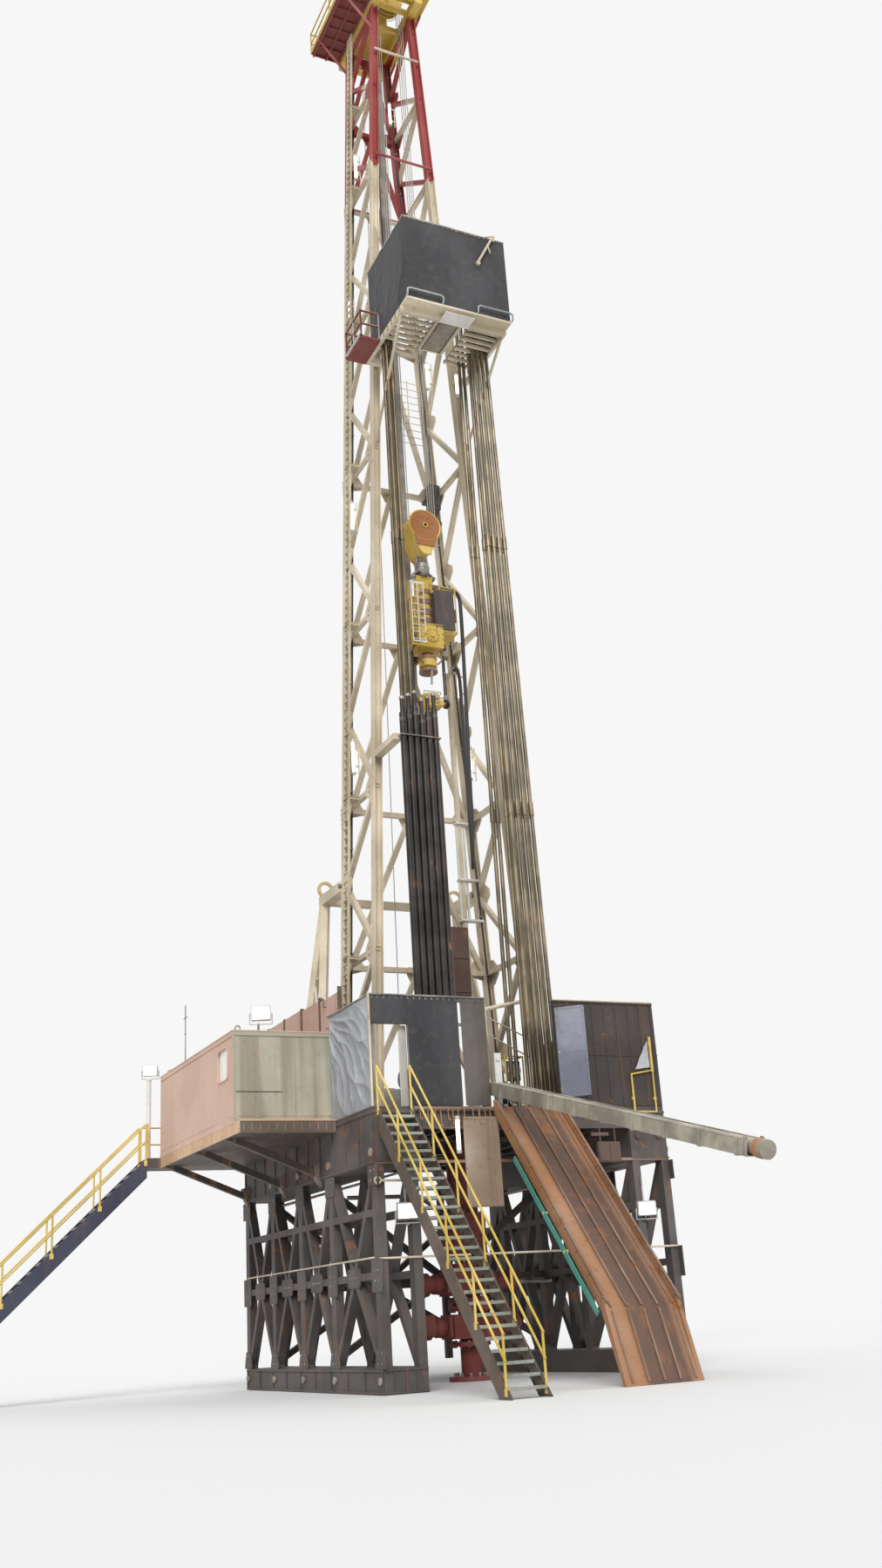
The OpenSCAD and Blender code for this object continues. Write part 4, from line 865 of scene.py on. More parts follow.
class RIG_OT_mast_fittings(bpy.types.Operator):
    """Adds the strip lamps, conduits and ladder fittings of the mast"""

    bl_idname = "rig.mast_fittings"
    bl_label = "Mast Fittings"

    def execute(self, context):
        holders = []
        for k, (side, y, z) in enumerate(MAST_LAMPS):
            x = -half(z) - 0.11 if side < 0 else half(z) - 0.12
            lamp((x, y, z), f"mast_lamp_{k}", 0.52)
            toward = x + 0.09 if side < 0 else x + 0.10
            for rise in (-0.16, 0.16):
                holders.append(plate(
                    (min(x, toward), y - 0.012, z + rise - 0.012),
                    (max(x, toward), y + 0.012, z + rise + 0.012), 0.002))
            holders.append(tube([(toward, y, z - 0.3), (toward, y, z + 0.3)], 0.010, 8))
        made(holders, "lamp_holders", "cream_paint")
        runs, clips = [], []
        for side, y in ((-1, -0.10), (-1, 0.98), (1, 0.98)):
            for shift in (0.0, 0.030):
                runs.append(tube([
                    (side * (half(z) - 0.045), y + shift * (1 if y < 0 else -1), z)
                    for z in (3.62, 12.0, 20.0, 25.4)], 0.009, 8))
            for z in (4.1 + k for k in range(22)):
                x = side * (half(z) - 0.045)
                clips.append(plate((x - 0.016, y - 0.045, z), (x + 0.016, y + 0.045, z + 0.02), 0.002))
        made(runs, "mast_conduits", "hose_rubber")
        made(clips, "conduit_clips", "worn_steel")
        rails = [tube([(-half(z) - 0.205, y, z) for z in (3.66, 25.38)], 0.018, 8) for y in (0.465, 0.665)]
        made(rails, "ladder_rails", "ladder_paint")
        stays = [
            plate((-half(z) - 0.23, 0.44, z + 0.02), (-half(z) - 0.03, 0.69, z + 0.032), 0.002)
            for z in LEVELS[1:8]]
        made(stays, "ladder_brackets", "ladder_paint")
        feet, pins = [], []
        for leg in LEGS:
            shoe = [
                (leg - 0.17, 3.5), (leg + 0.17, 3.5), (leg + 0.17, 3.56), (leg + 0.09, 3.78),
                (leg - 0.09, 3.78), (leg - 0.17, 3.56)]
            feet += [cutout(shoe, 0.024, "X", x) for x in (-1.47, -1.27)]
            feet.append(plate((-1.55, leg - 0.2, 3.5), (-1.2, leg + 0.2, 3.53)))
            pins.append(drum((-1.37, leg, 3.68), 0.045, 0.27, "X", 24, 0.006))
            pins.append(row(
                row(bolt((-1.52, leg - 0.16, 3.536), "Z", 0.018), 2, (0.29, 0, 0)), 2, (0, 0.32, 0)))
        paired(feet, "mast_shoes", "cream_paint")
        paired(pins, "mast_foot_pins", "worn_steel")
        return {"FINISHED"}


class RIG_OT_crown(bpy.types.Operator):
    """Adds the crown's toe boards, bearings, guards, struts, ties, joists and beacon"""

    bl_idname = "rig.crown"
    bl_label = "Crown"

    def execute(self, context):
        deck = CROWN_DECK
        boards = [
            plate((-1.1, -0.652, deck), (0.65, -0.640, deck + 0.07), 0.002),
            plate((-1.1, 1.490, deck), (0.65, 1.502, deck + 0.07), 0.002),
            plate((-1.102, -0.65, deck), (-1.090, 1.5, deck + 0.07), 0.002),
            plate((0.640, -0.65, deck), (0.652, 1.5, deck + 0.07), 0.002)]
        made(boards, "crown_toe_boards", "yellow_paint")
        caps, nuts = [], []
        for y in (-0.25, 0.25):
            caps.append(drum((0, y, SHEAVE_TOP), 0.085, 0.06, "Y", 32, 0.006))
            face = y + math.copysign(0.034, y)
            nuts += [bolt((u, face, SHEAVE_TOP + w), "Y", 0.009) for u, w in around(6, 0.062)]
        caps += [drum((x * 1.4, 1.108, SHEAVE_TOP), 0.06, 0.03, "X", 24, 0.004) for x in (-0.045, 0.045)]
        made(caps, "crown_bearings", "worn_steel")
        made(nuts, "crown_bearing_bolts", "worn_steel")
        guards = [ring((0, (i - 2) * LINE_PITCH, SHEAVE_TOP), 0.285, 0.007, "Y", 48) for i in range(5)]
        guards += [
            tube([
                (0.285 * math.cos(a), -0.19, SHEAVE_TOP + 0.285 * math.sin(a)),
                (0.285 * math.cos(a), 0.19, SHEAVE_TOP + 0.285 * math.sin(a))], 0.008, 8)
            for a in (math.radians(d) for d in (20, 90, 160))]
        made(guards, "crown_rope_guards", "yellow_paint")
        struts = [tube([(-1.08, y, 25.70), (-half(24.9) - 0.02, y, 24.95)], 0.028, 10) for y in LEGS]
        struts += [tube([(0.63, y, 25.70), (half(25.1) + 0.02, y, 25.15)], 0.024, 10) for y in LEGS]
        made(struts, "crown_struts", "mast_red_paint")
        ties = [
            tube([(-half(z) - 0.02, LEGS[0] - 0.075, z), (half(z) + 0.02, LEGS[0] - 0.075, z)], 0.026, 12)
            for z in (24.35, 21.68)]
        finished(ties[0], "front_tie_cream", "cream_paint")
        finished(ties[1], "front_tie_red", "mast_red_paint")
        post = [
            tube([(-0.9, 1.40, deck), (-0.9, 1.40, deck + 0.50)], 0.014),
            drum((-0.9, 1.40, deck + 0.51), 0.03, 0.03, "Z", 16, 0.004)]
        made(post, "beacon_post", "worn_steel")
        finished(drum((-0.9, 1.40, deck + 0.55), 0.026, 0.05, "Z", 16, 0.010), "beacon", "red_paint")
        planks = row(
            plate((-1.08, -0.63, deck + 0.001), (-0.45, -0.60, deck + 0.006), 0.001), 52, (0, 0.0408, 0))
        finished(planks, "crown_grating", "worn_steel")
        joists = [
            row(plate((-1.07, -0.60, deck - 0.075), (-0.45, -0.57, deck - 0.022), 0.003), 9, (0, 0.255, 0)),
            row(plate((-1.06, -0.63, deck - 0.10), (-1.03, 1.48, deck - 0.022), 0.003), 3, (0.27, 0, 0)),
            plate((-1.085, -0.635, deck - 0.034), (-0.44, 1.485, deck - 0.023), 0.003)]
        made(joists, "crown_joists", "preventer_red", ROOT)
        return {"FINISHED"}


def ridge(value):
    """A sharp fold's height, 0 to 1."""
    return 1 - abs(math.sin(value))


def tarp_sheet(low, high, seed, depth, fan=None, cells=40):
    """A creased sheet in (u, w, depth); its folds hang down, or fan out from a point."""
    deselect()
    bpy.ops.mesh.primitive_grid_add(x_subdivisions=cells, y_subdivisions=cells, size=1)
    piece = bpy.context.object
    for v in piece.data.vertices:
        a, b = v.co.x + 0.5, v.co.y + 0.5
        u, w = low[0] + a * (high[0] - low[0]), low[1] + b * (high[1] - low[1])
        if fan:
            turn, far = math.atan2(fan[1] - w, fan[0] - u), math.hypot(fan[1] - w, fan[0] - u)
            fold = 0.52 * ridge(turn * 8.3 + 0.6 * math.sin(far * 5 + seed)) ** 3
            fold += 0.33 * ridge(turn * 17.1 + 1.8 * math.sin(far * 3.7 + seed)) ** 2 * min(1, far * 1.5)
        else:
            fold = 0.40 * ridge(u * 5.5 + 1.7 * seed + 0.9 * math.sin(w * 4 + seed)) ** 2
            fold += 0.35 * (0.5 + 0.5 * math.sin(u * 3 + w * 2.3 + seed))
        fold += (0.25 * ridge(u * 13 + w * 4 + 2 * math.sin(w * 9 + seed))
                 * ridge(w * 8 + 2 * math.sin(u * 6 + seed)))
        free = min(1.0, 8 * b + 0.1, 6 * (1 - b) + 0.25, 10 * a + 0.2, 10 * (1 - a) + 0.2)
        v.co = (u, w, depth * free * fold)
    modified(piece, "SOLIDIFY", thickness=0.003, offset=-1)
    modified(piece, "SUBSURF", levels=1, render_levels=1)
    return piece


def hung(sheet, place, name, finish, node):
    """Turns a sheet's (u, w, depth) into the rig's axes and lets it stand for its wall."""
    for v in sheet.data.vertices:
        v.co = place(*v.co)
    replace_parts(finished(sheet, name, finish, ROOT), node)


class RIG_OT_board(bpy.types.Operator):
    """Adds the racking board's latches, chains, gratings, rails, tarpaulins and their frames"""

    bl_idname = "rig.board"
    bl_label = "Racking Board"

    def execute(self, context):
        latch, chain, tips = [], [], []
        for i in range(8):
            y = -0.77 - 0.14 * i
            tips.append(drum((0.335, y, BOARD), 0.030, 0.062, "Z", 20, 0.004))
            latch.append(joined([
                plate((0.36, y - 0.012, BOARD + 0.030), (0.44, y + 0.012, BOARD + 0.052), 0.003),
                drum((0.375, y, BOARD + 0.058), 0.016, 0.016, "Z", 16, 0.002),
                tube([(0.375, y, BOARD + 0.058), (0.375, y - 0.118, BOARD + 0.058)], 0.007, 8)]))
            if i < 7:
                chain.append(row(
                    ring((0.30, y - 0.012, BOARD - 0.036), 0.010, 0.0028, "Z", 12), 6, (0, -0.022, 0)))
        paired(tips, "finger_tips", "cream_paint")
        paired(latch, "finger_latches", "worn_steel")
        paired(chain, "finger_chains", "worn_steel")
        ribs = row(
            plate((0.40, -0.765, BOARD - 0.036), (0.93, -0.757, BOARD - 0.030), 0.001), 8, (0, -0.14, 0))
        finished(both(ribs), "finger_ribs", "cream_paint")
        walk = row(
            plate((-0.98, -2.095, BOARD + 0.060), (0.98, -2.090, BOARD + 0.066), 0.001), 9, (0, 0.024, 0))
        finished(walk, "walkway_grating", "worn_steel")
        gang = [
            plate(
                (s * 0.245 - 0.006, -1.95, BOARD + 0.10), (s * 0.245 + 0.006, -0.86, BOARD + 0.145), 0.002)
            for s in (-1, 1)]
        gang.append(row(
            plate((-0.24, -1.94, BOARD + 0.100), (0.24, -1.925, BOARD + 0.107), 0.001), 26, (0, 0.0422, 0)))
        made(gang, "gangway_grating", "worn_steel")
        rails = [
            tube([
                (low, -2.09, BOARD + 0.06), (low, -2.13, BOARD + 0.09), (low, -2.14, BOARD + 0.17),
                (low + 0.04, -2.14, BOARD + 0.20), (high - 0.04, -2.14, BOARD + 0.20),
                (high, -2.14, BOARD + 0.17), (high, -2.13, BOARD + 0.09), (high, -2.09, BOARD + 0.06)], 0.015)
            for low, high in ((-0.98, -0.32), (0.34, 1.0))]
        made(rails, "board_front_rails", "rail_grey", ROOT)
        for seed, (low, high, place, name) in enumerate((
                (-0.98, 0.98, lambda u, w, d: (u, -2.080 - d, w), "front"),
                (-2.08, -0.51, lambda u, w, d: (-0.966 - d, u, w), "left"),
                (-2.08, -0.51, lambda u, w, d: (0.966 + d, u, w), "right"))):
            hung(
                tarp_sheet((low, BOARD + 0.065), (high, BOARD + 1.745), seed + 5, 0.022, None, 60), place,
                "board_tarp_" + name, "tarp", "board_walls")
        top = BOARD + 1.75
        frame_bars = [tube([
            (-0.965, -0.5, top), (-0.965, -2.08, top), (0.965, -2.08, top), (0.965, -0.5, top)], 0.020, 12)]
        for x, y in (
                (-0.965, -0.52), (-0.965, -1.3), (-0.965, -2.08), (-0.32, -2.08), (0.32, -2.08),
                (0.965, -2.08), (0.965, -1.3), (0.965, -0.52)):
            inner = (x * 0.955, y + (0.035 if y < -2 else 0), 0)
            frame_bars.append(tube([(inner[0], inner[1], BOARD + 0.06), (inner[0], inner[1], top)], 0.014, 8))
        for z in (BOARD + 0.6, BOARD + 1.15):
            frame_bars.append(tube(
                [(-0.93, -0.52, z), (-0.93, -2.045, z), (0.93, -2.045, z), (0.93, -0.52, z)], 0.012, 8))
        made(frame_bars, "board_wall_frame", "worn_steel")
        stays = [
            tube([(-0.96, -0.52, top - 0.05), (-half(top + 0.35) - 0.03, -0.27, top + 0.35)], 0.012, 8),
            tube([(0.96, -0.52, top - 0.05), (half(top + 0.35) + 0.03, -0.27, top + 0.35)], 0.012, 8)]
        stays += [
            tube([(s * 0.96, -1.85, BOARD + 0.06), (s * (half(19.9) + 0.02), -0.27, 19.9)], 0.010, 8)
            for s in (-1, 1)]
        made(stays, "board_stays", "wire_rope")
        under = [
            tube([(s * 0.95, -1.75, BOARD - 0.06), (s * half(15.2), -0.27, 15.25)], 0.026, 10)
            for s in (-1, 1)]
        made(under, "board_struts", "cream_paint")
        ties = row(bolt((-0.94, -2.098, top - 0.04), "Y", 0.008, 0.01), 22, (0.0895, 0, 0))
        finished(ties, "board_eyelets", "worn_steel")
        nuts = row(row(bolt((-0.990, -1.78, BOARD - 0.03), "X", 0.013), 9, (0, 0.17, 0)), 2, (0, 0, 0.06))
        finished(both(nuts), "board_bolts", "worn_steel")
        lamp((0.62, -0.62, BOARD - 0.32), "board_lamp_right", 0.42)
        lamp((-0.62, -0.45, BOARD + 1.2), "board_lamp_left", 0.42)
        posts = [
            tube([(0.62, -0.60, BOARD - 0.03), (0.62, -0.60, BOARD - 0.10)], 0.010, 8),
            tube(
                [(-0.62, -0.45, BOARD + 1.42), (-0.62, -0.45, BOARD + 1.62), (-0.60, -0.27, BOARD + 1.62)],
                0.010, 8)]
        made(posts, "board_lamp_arms", "worn_steel")
        arm = [
            tube([(half(20.0) - 0.06, -0.27, 20.0), (0.75, -2.125, 18.60)], 0.010, 10),
            tube([(0.75, -2.135, 18.60), (0.40, -2.15, 17.93)], 0.022, 12),
            plate((0.72, -2.14, 18.50), (0.78, -2.11, 18.61))]
        arm += [
            drum((0.398, -2.15, 17.90), 0.040, 0.05, "Y", 20, 0.006),
            tube([(0.62, -2.145, 18.35), (0.66, -2.145, 18.20)], 0.012, 8)]
        made(arm, "board_arm", "cream_paint")
        finished(
            plate((-0.27, -2.10, BOARD - 0.075), (0.28, -1.80, BOARD - 0.061)), "gangway_plate",
            "white_paint", ROOT)
        dots = row(
            row(bolt((-0.17, -1.72, BOARD + 0.052), "Z", 0.014, 0.03), 2, (0.34, 0, 0)), 20, (0, 0.043, 0))
        slots = row(
            plate((-0.15, -1.73, BOARD + 0.046), (0.15, -1.715, BOARD + 0.058), 0.002), 20, (0, 0.043, 0))
        made([dots, slots], "gangway_studs", "worn_steel")
        return {"FINISHED"}


class RIG_OT_block(bpy.types.Operator):
    """Adds the travelling block's pins, covers and hook"""

    bl_idname = "rig.block"
    bl_label = "Travelling Block"

    def execute(self, context):
        z = SHEAVE_LOW
        caps, nuts, brown = [], [], []
        for s in (-1, 1):
            y = s * 0.218
            brown.append(drum((0, y + s * 0.006, z), 0.272, 0.024, "Y", 56, 0.006))
            brown.append(cutout(
                [(-0.262, z - 0.04), (-0.16, z - 0.40), (0.16, z - 0.40), (0.262, z - 0.04)], 0.018, "Y",
                y + s * 0.006))
            brown.append(ring((0, y + s * 0.018, z), 0.060, 0.010, "Y", 32))
            caps.append(drum((0, y + s * 0.018, z), 0.030, 0.02, "Y", 24, 0.004))
            nuts += [bolt((u, y + s * 0.022, z + w), "Y", 0.012) for u, w in around(8, 0.145, 0.5)]
            nuts += [
                bolt(((-1) ** k * 0.19, y + s * 0.012, z - 0.18 - 0.10 * (k // 2)), "Y", 0.012)
                for k in range(6)]
        made(brown, "block_cheeks", "block_face", "hoist")
        made(caps, "block_caps", "link_dark", "hoist")
        rims = [ring((0, s * 0.222, z), 0.286, 0.012, "Y", 56) for s in (-1, 1)]
        made(rims, "block_rims", "yellow_paint", "hoist")
        made(nuts, "block_bolts", "worn_steel", "hoist")
        guard = row(plate((-0.13, -0.180, z - 0.34), (0.13, -0.172, z - 0.33), 0.002), 2, (0, 0.352, 0))
        slots = row(plate((-0.12, -0.184, z - 0.40), (0.12, -0.172, z - 0.385), 0.002), 5, (0, 0, -0.035))
        made([guard, slots], "block_louvres", "worn_steel", "hoist")
        bail = tube([
            (-0.075, 0, 13.02), (-0.10, 0, 13.10), (-0.085, 0, 13.19), (0, 0, 13.23), (0.085, 0, 13.19),
            (0.10, 0, 13.10), (0.075, 0, 13.02)], 0.024, 12)
        finished(bail, "block_bail", "worn_steel", "hoist")
        hook = [
            drum((0, 0, 12.975), 0.128, 0.05, "Z", 32, 0.010),
            drum((0, 0, 12.885), 0.126, 0.03, "Z", 32, 0.008)]
        for s in (-1, 1):
            hook.append(tube([
                (s * 0.07, 0, 12.92), (s * 0.16, 0, 12.86), (s * 0.19, 0, 12.78), (s * 0.13, 0, 12.70),
                (s * 0.06, 0, 12.69)], 0.030, 12))
            hook.append(drum((s * 0.19, 0, 12.80), 0.036, 0.10, "Y", 20, 0.006))
        latch = plate((-0.075, -0.135, 12.82), (0.075, -0.115, 12.92), 0.006)
        made([*hook, latch], "hook_horns", "worn_steel", "hoist")
        spring = [ring((0, 0, 13.02 + 0.024 * k), 0.082, 0.009, "Z", 28) for k in range(5)]
        made(spring, "hook_spring", "worn_steel", "hoist")
        return {"FINISHED"}


class RIG_OT_top_drive(bpy.types.Operator):
    """Adds the top drive's motor, gearbox, hoses, guide rollers and lower tools"""

    bl_idname = "rig.top_drive"
    bl_label = "Top Drive"

    def execute(self, context):
        motor = (0.285, 0.0)
        ribs = [ring((*motor, 11.78 + 0.042 * k), 0.191, 0.006, "Z", 40) for k in range(17)]
        ribs.append(drum((*motor, 12.555), 0.165, 0.09, "Z", 40, 0.014))
        ribs.append(drum((*motor, 12.62), 0.10, 0.07, "Z", 32, 0.010))
        made(ribs, "motor_ribs", "motor_dark", "hoist")
        skin = drum((*motor, 12.12), 0.1915, 0.74, "Z", 48, 0.004)
        finished(skin, "motor_shell", "motor_dark", "hoist")
        vent = row(plate((0.40, -0.135, 12.24), (0.47, -0.120, 12.26), 0.003), 6, (0, 0, 0.035))
        box = plate((0.36, -0.225, 11.92), (0.49, -0.130, 12.16), 0.010)
        made([vent, box], "motor_box", "motor_dark", "hoist")
        parts = [
            plate((-0.222, -0.228, 11.42), (0.222, -0.214, 11.78), 0.008),
            drum((0.0, -0.235, 11.60), 0.13, 0.03, "Y", 40, 0.006),
            drum((0.0, -0.252, 11.60), 0.05, 0.03, "Y", 24, 0.004),
            plate((-0.225, -0.225, 11.795), (0.225, 0.225, 11.825), 0.006)]
        nuts = [bolt((u, -0.254, 11.60 + w), "Y", 0.009) for u, w in around(10, 0.105)]
        nuts.append(row(row(bolt((-0.195, -0.232, 11.45), "Y", 0.010), 2, (0.39, 0, 0)), 4, (0, 0, 0.10)))
        nuts.append(row(bolt((-0.20, -0.235, 11.81), "Y", 0.009), 9, (0.05, 0, 0)))
        made(parts, "gearbox_covers", "yellow_paint", "hoist")
        made(nuts, "gearbox_bolts", "worn_steel", "hoist")
        swivel = [
            drum((0, 0, 11.93), 0.135, 0.10, "Z", 32, 0.010),
            drum((0, 0, 12.10), 0.122, 0.12, "Z", 32, 0.008),
            drum((0, 0, 12.30), 0.130, 0.10, "Z", 32, 0.008),
            drum((0, 0, 12.49), 0.118, 0.10, "Z", 32, 0.008)]
        swivel.append(tube([(0.02, 0, 12.64), (0.16, -0.02, 12.64), (0.26, -0.02, 12.64)], 0.047, 16))
        made(swivel, "swivel_housing", "rusty_steel", "hoist")
        mesh = [
            tube([(-0.348, y, 11.42), (-0.348, y, 12.57)], 0.008, 8)
            for y in (-0.14, -0.07, 0.0, 0.07, 0.14)]
        mesh += [tube([(-0.355, y, 11.42), (-0.225, y, 12.55)], 0.009, 8) for y in (-0.208, 0.208)]
        mesh.append(tube([(-0.225, -0.208, 11.45), (-0.355, -0.208, 12.55)], 0.009, 8))
        made(mesh, "cage_bars", "yellow_paint", "hoist")
        steps = [row(tube([(-0.345, -0.232, 11.50), (-0.115, -0.232, 11.50)], 0.009, 8), 9, (0, 0, 0.13))]
        steps += [tube([(x, -0.232, 11.44), (x, -0.232, 12.58)], 0.010, 8) for x in (-0.345, -0.23, -0.115)]
        steps += [plate((-0.36, -0.236, z), (-0.10, -0.212, z + 0.03), 0.003) for z in (11.44, 12.55)]
        made(steps, "cage_ladder", "white_paint", "hoist")
        panel = [
            plate((0.10, -0.222, 11.74), (0.46, -0.206, 12.50), 0.010),
            plate((0.09, -0.230, 11.70), (0.105, -0.204, 12.54), 0.003)]
        made(panel, "motor_cover", "motor_dark", "hoist")
        guard = [
            tube([(0.18, -0.21, z), (0.49, -0.21, z), (0.49, 0.21, z), (0.18, 0.21, z)], 0.014, 10)
            for z in (12.56, 11.72)]
        guard += [
            tube([(x, y, 11.72), (x, y, 12.56)], 0.012, 10)
            for x, y in ((0.49, -0.21), (0.49, 0.21), (0.20, -0.21))]
        guard.append(plate((0.10, -0.20, 11.68), (0.48, 0.20, 11.71), 0.006))
        made(guard, "motor_guard", "yellow_paint", "hoist")
        lines = []
        for x, y, drop in (
                (0.19, 0.23, 0.42), (0.12, 0.25, 0.62), (-0.12, 0.24, 0.50), (-0.28, -0.10, 0.36),
                (-0.30, 0.06, 0.55)):
            lines.append(tube([
                (x, y, 12.45), (x * 1.25, y * 1.12, 12.2), (x * 1.3, y * 1.15, 12.45 - drop),
                (x * 1.05, y * 0.95, 11.75), (x * 0.8, y * 0.7, 11.55)], 0.012, 10))
        made(lines, "control_hoses", "hose_rubber", "hoist")
        carriage = []
        for z in (11.60, 12.40):
            for s in (-1, 1):
                carriage.append(drum((s * 0.106, 0.60, z), 0.030, 0.05, "Z", 20, 0.004))
                carriage.append(plate((s * 0.090, 0.50, z - 0.05), (s * 0.130, 0.62, z - 0.03), 0.003))
            carriage.append(plate((-0.115, 0.40, z - 0.04), (0.115, 0.43, z + 0.04)))
        made(carriage, "carriage_rollers", "worn_steel", "hoist")
        lower = [
            drum((0, 0, 11.02), 0.158, 0.05, "Z", 40, 0.006),
            drum((0, 0, 11.24), 0.156, 0.05, "Z", 40, 0.006),
            drum((0, 0, 10.985), 0.10, 0.03, "Z", 32, 0.006),
            drum((0, 0, 11.33), 0.102, 0.05, "Z", 32, 0.006)]
        lower += [
            tube([(s * 0.13, -0.10, 11.13), (s * 0.20, -0.12, 11.20), (s * 0.20, -0.12, 11.42)], 0.016, 10)
            for s in (-1, 1)]
        made(lower, "pipe_handler", "rusty_steel", "hoist")
        made(
            [bolt((*spot, 11.272), "Z", 0.010) for spot in around(12, 0.13)], "handler_bolts", "worn_steel",
            "hoist")
        for s in (-1, 1):
            caps = [
                drum((s * 0.338, 0, EAR), 0.052, 0.014, "X", 24, 0.004),
                bolt((s * 0.348, 0, EAR), "X", 0.018)]
            made(caps, "ear_cap_left" if s < 0 else "ear_cap_right", "worn_steel", "hoist")
        return {"FINISHED"}


class RIG_OT_elevator(bpy.types.Operator):
    """Adds the elevator's doors, latch and the links' swells"""

    bl_idname = "rig.elevator"
    bl_label = "Elevator"

    def execute(self, context):
        z = 10.46
        rim = [
            ring((0, 0, 10.565), 0.150, 0.014, "Z", 48), ring((0, 0, 10.36), 0.150, 0.014, "Z", 48),
            drum((-0.10, -0.128, z), 0.020, 0.19, "Z", 16, 0.004),
            drum((0.10, -0.128, z), 0.020, 0.19, "Z", 16, 0.004)]
        face = [(-0.07, z - 0.06), (0.07, z - 0.06), (0.07, z + 0.06), (-0.07, z + 0.06)]
        rim.append(cutout(face, 0.02, "Y", -0.168))
        made(rim, "elevator_rims", "yellow_paint", "elevator_links")
        latch = [
            plate((-0.05, -0.188, z - 0.03), (0.05, -0.176, z + 0.03)),
            tube([(0.03, -0.185, z), (0.10, -0.215, z + 0.01), (0.17, -0.20, z + 0.01)], 0.009, 8),
            tube(
                [(-0.15, -0.10, 10.58), (-0.15, -0.10, 10.62), (0.15, -0.10, 10.62), (0.15, -0.10, 10.58)],
                0.009, 8)]
        made(latch, "elevator_latch", "worn_steel", "elevator_links")
        swells = []
        for s in (-1, 1):
            for at, way in ((z + 0.075, 1), (EAR - 0.075, -1)):
                for k, r in enumerate((0.042, 0.037, 0.032)):
                    swells.append(drum((s * 0.29, 0, at + way * (0.01 + 0.03 * k)), r, 0.036, "Z", 20, 0.006))
            swells.append(ring((s * 0.29, 0, 11.02), 0.031, 0.006, "Z", 20))
        made(swells, "link_swells", "worn_steel", "elevator_links")
        nuts = [drum((s * 0.342, 0, z), 0.048, 0.012, "X", 24, 0.003) for s in (-1, 1)]
        made(nuts, "elevator_pin_caps", "worn_steel", "elevator_links")
        finished(tube([(0, -0.14, 11.05), (0, -0.10, 10.75)], 0.018, 12), "stop_rod", "worn_steel", "hoist")
        return {"FINISHED"}


class RIG_OT_stair_pair(bpy.types.Operator):
    """Replaces both plain stairs with channel stringers, treads and tube rails"""

    bl_idname = "rig.stair_pair"
    bl_label = "Stairs"

    def execute(self, context):
        self.stair(
            "front_stair", "yellow_paint", (-2.20, FRONT), (0, -1), 0.51, 3.25, "brown_side", "tread_pale")
        self.stair("side_stair", "blue_paint", (-3.85, 3.80), (-1, 0), 0.485, 3.69, "side_blue", "tread_grey")
        return {"FINISHED"}

    def stair(self, name, slot, corner, way, width, run, sides, treads):
        """One stair, drawn along +x from the floor down, then turned to its way."""
        steps = 28
        rise, go = FLOOR / steps, run / steps
        fall = FLOOR / run
        turn = Matrix.Translation((*corner, 0)) @ Matrix.Rotation(math.atan2(way[1], way[0]), 4, "Z")
        parts = []
        for y in (0.015, width - 0.015):
            parts.append(cutout(
                [(0, FLOOR), (0, FLOOR - 0.30), (run - 0.30 / fall, 0), (run, 0)], 0.012, "Y", y))
            side = -1 if y < 0.1 else 1
            lip = y + side * -0.008
            for offset in (0.012, 0.288):
                a = Vector((0.004, lip, FLOOR - offset))
                b = Vector((run - offset / fall - 0.012, lip, 0.012))
                flange = plate((0, -0.010, -0.006), ((b - a).length, 0.010, 0.006), 0.002)
                flange.matrix_world = Matrix.Translation(a) @ (b - a).to_track_quat(
                    "X", "Z").to_matrix().to_4x4()
                parts.append(settle(flange))
            parts.append(row(
                bolt((go * 0.5, y + side * 0.009, FLOOR - rise - 0.012), "Y", 0.007, 0.006), steps - 1,
                (go, 0, -rise)))
        stringers = joined(parts)
        step = [
            plate(
                (0.0, 0.03, FLOOR - rise - 0.024), (go + 0.02, width - 0.03, FLOOR - rise - 0.016), 0.002),
            plate(
                (go + 0.012, 0.03, FLOOR - rise - 0.042), (go + 0.022, width - 0.03, FLOOR - rise - 0.006),
                0.002),
            plate((0.0, 0.03, FLOOR - rise - 0.044), (0.010, width - 0.03, FLOOR - rise - 0.016), 0.002)]
        step.append(row(
            plate((0.008, 0.05, FLOOR - rise - 0.016), (go + 0.010, 0.056, FLOOR - rise - 0.011), 0), 12,
            (0, (width - 0.11) / 11, 0)))
        treads_piece = row(joined(step), steps - 1, (go, 0, -rise))
        rail = []
        height = bpy.context.scene.rig_settings.rail_height
        for y in (0.015, width - 0.015):
            for top in (height * 0.5, height):
                rail.append(tube([(0.02, y, FLOOR + top), (run - 0.10, y, top + 0.10 * fall)], 0.015, 12))
            for x in (0.02 + i * (run - 0.14) / 5 for i in range(6)):
                z = FLOOR - x * fall
                rail.append(tube([(x, y, z - 0.03), (x, y, z + height)], 0.015, 12))
                rail.append(plate((x - 0.03, y - 0.014, z - 0.10), (x + 0.03, y + 0.014, z - 0.02), 0.003))
        rails = joined(rail)
        for piece, suffix, finish in (
                (stringers, "stringers", sides), (treads_piece, "treads", treads),
                (rails, "rails", "rail_yellow")):
            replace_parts(laid(turn, [piece], f"{name}_{suffix}", finish, ROOT), name)


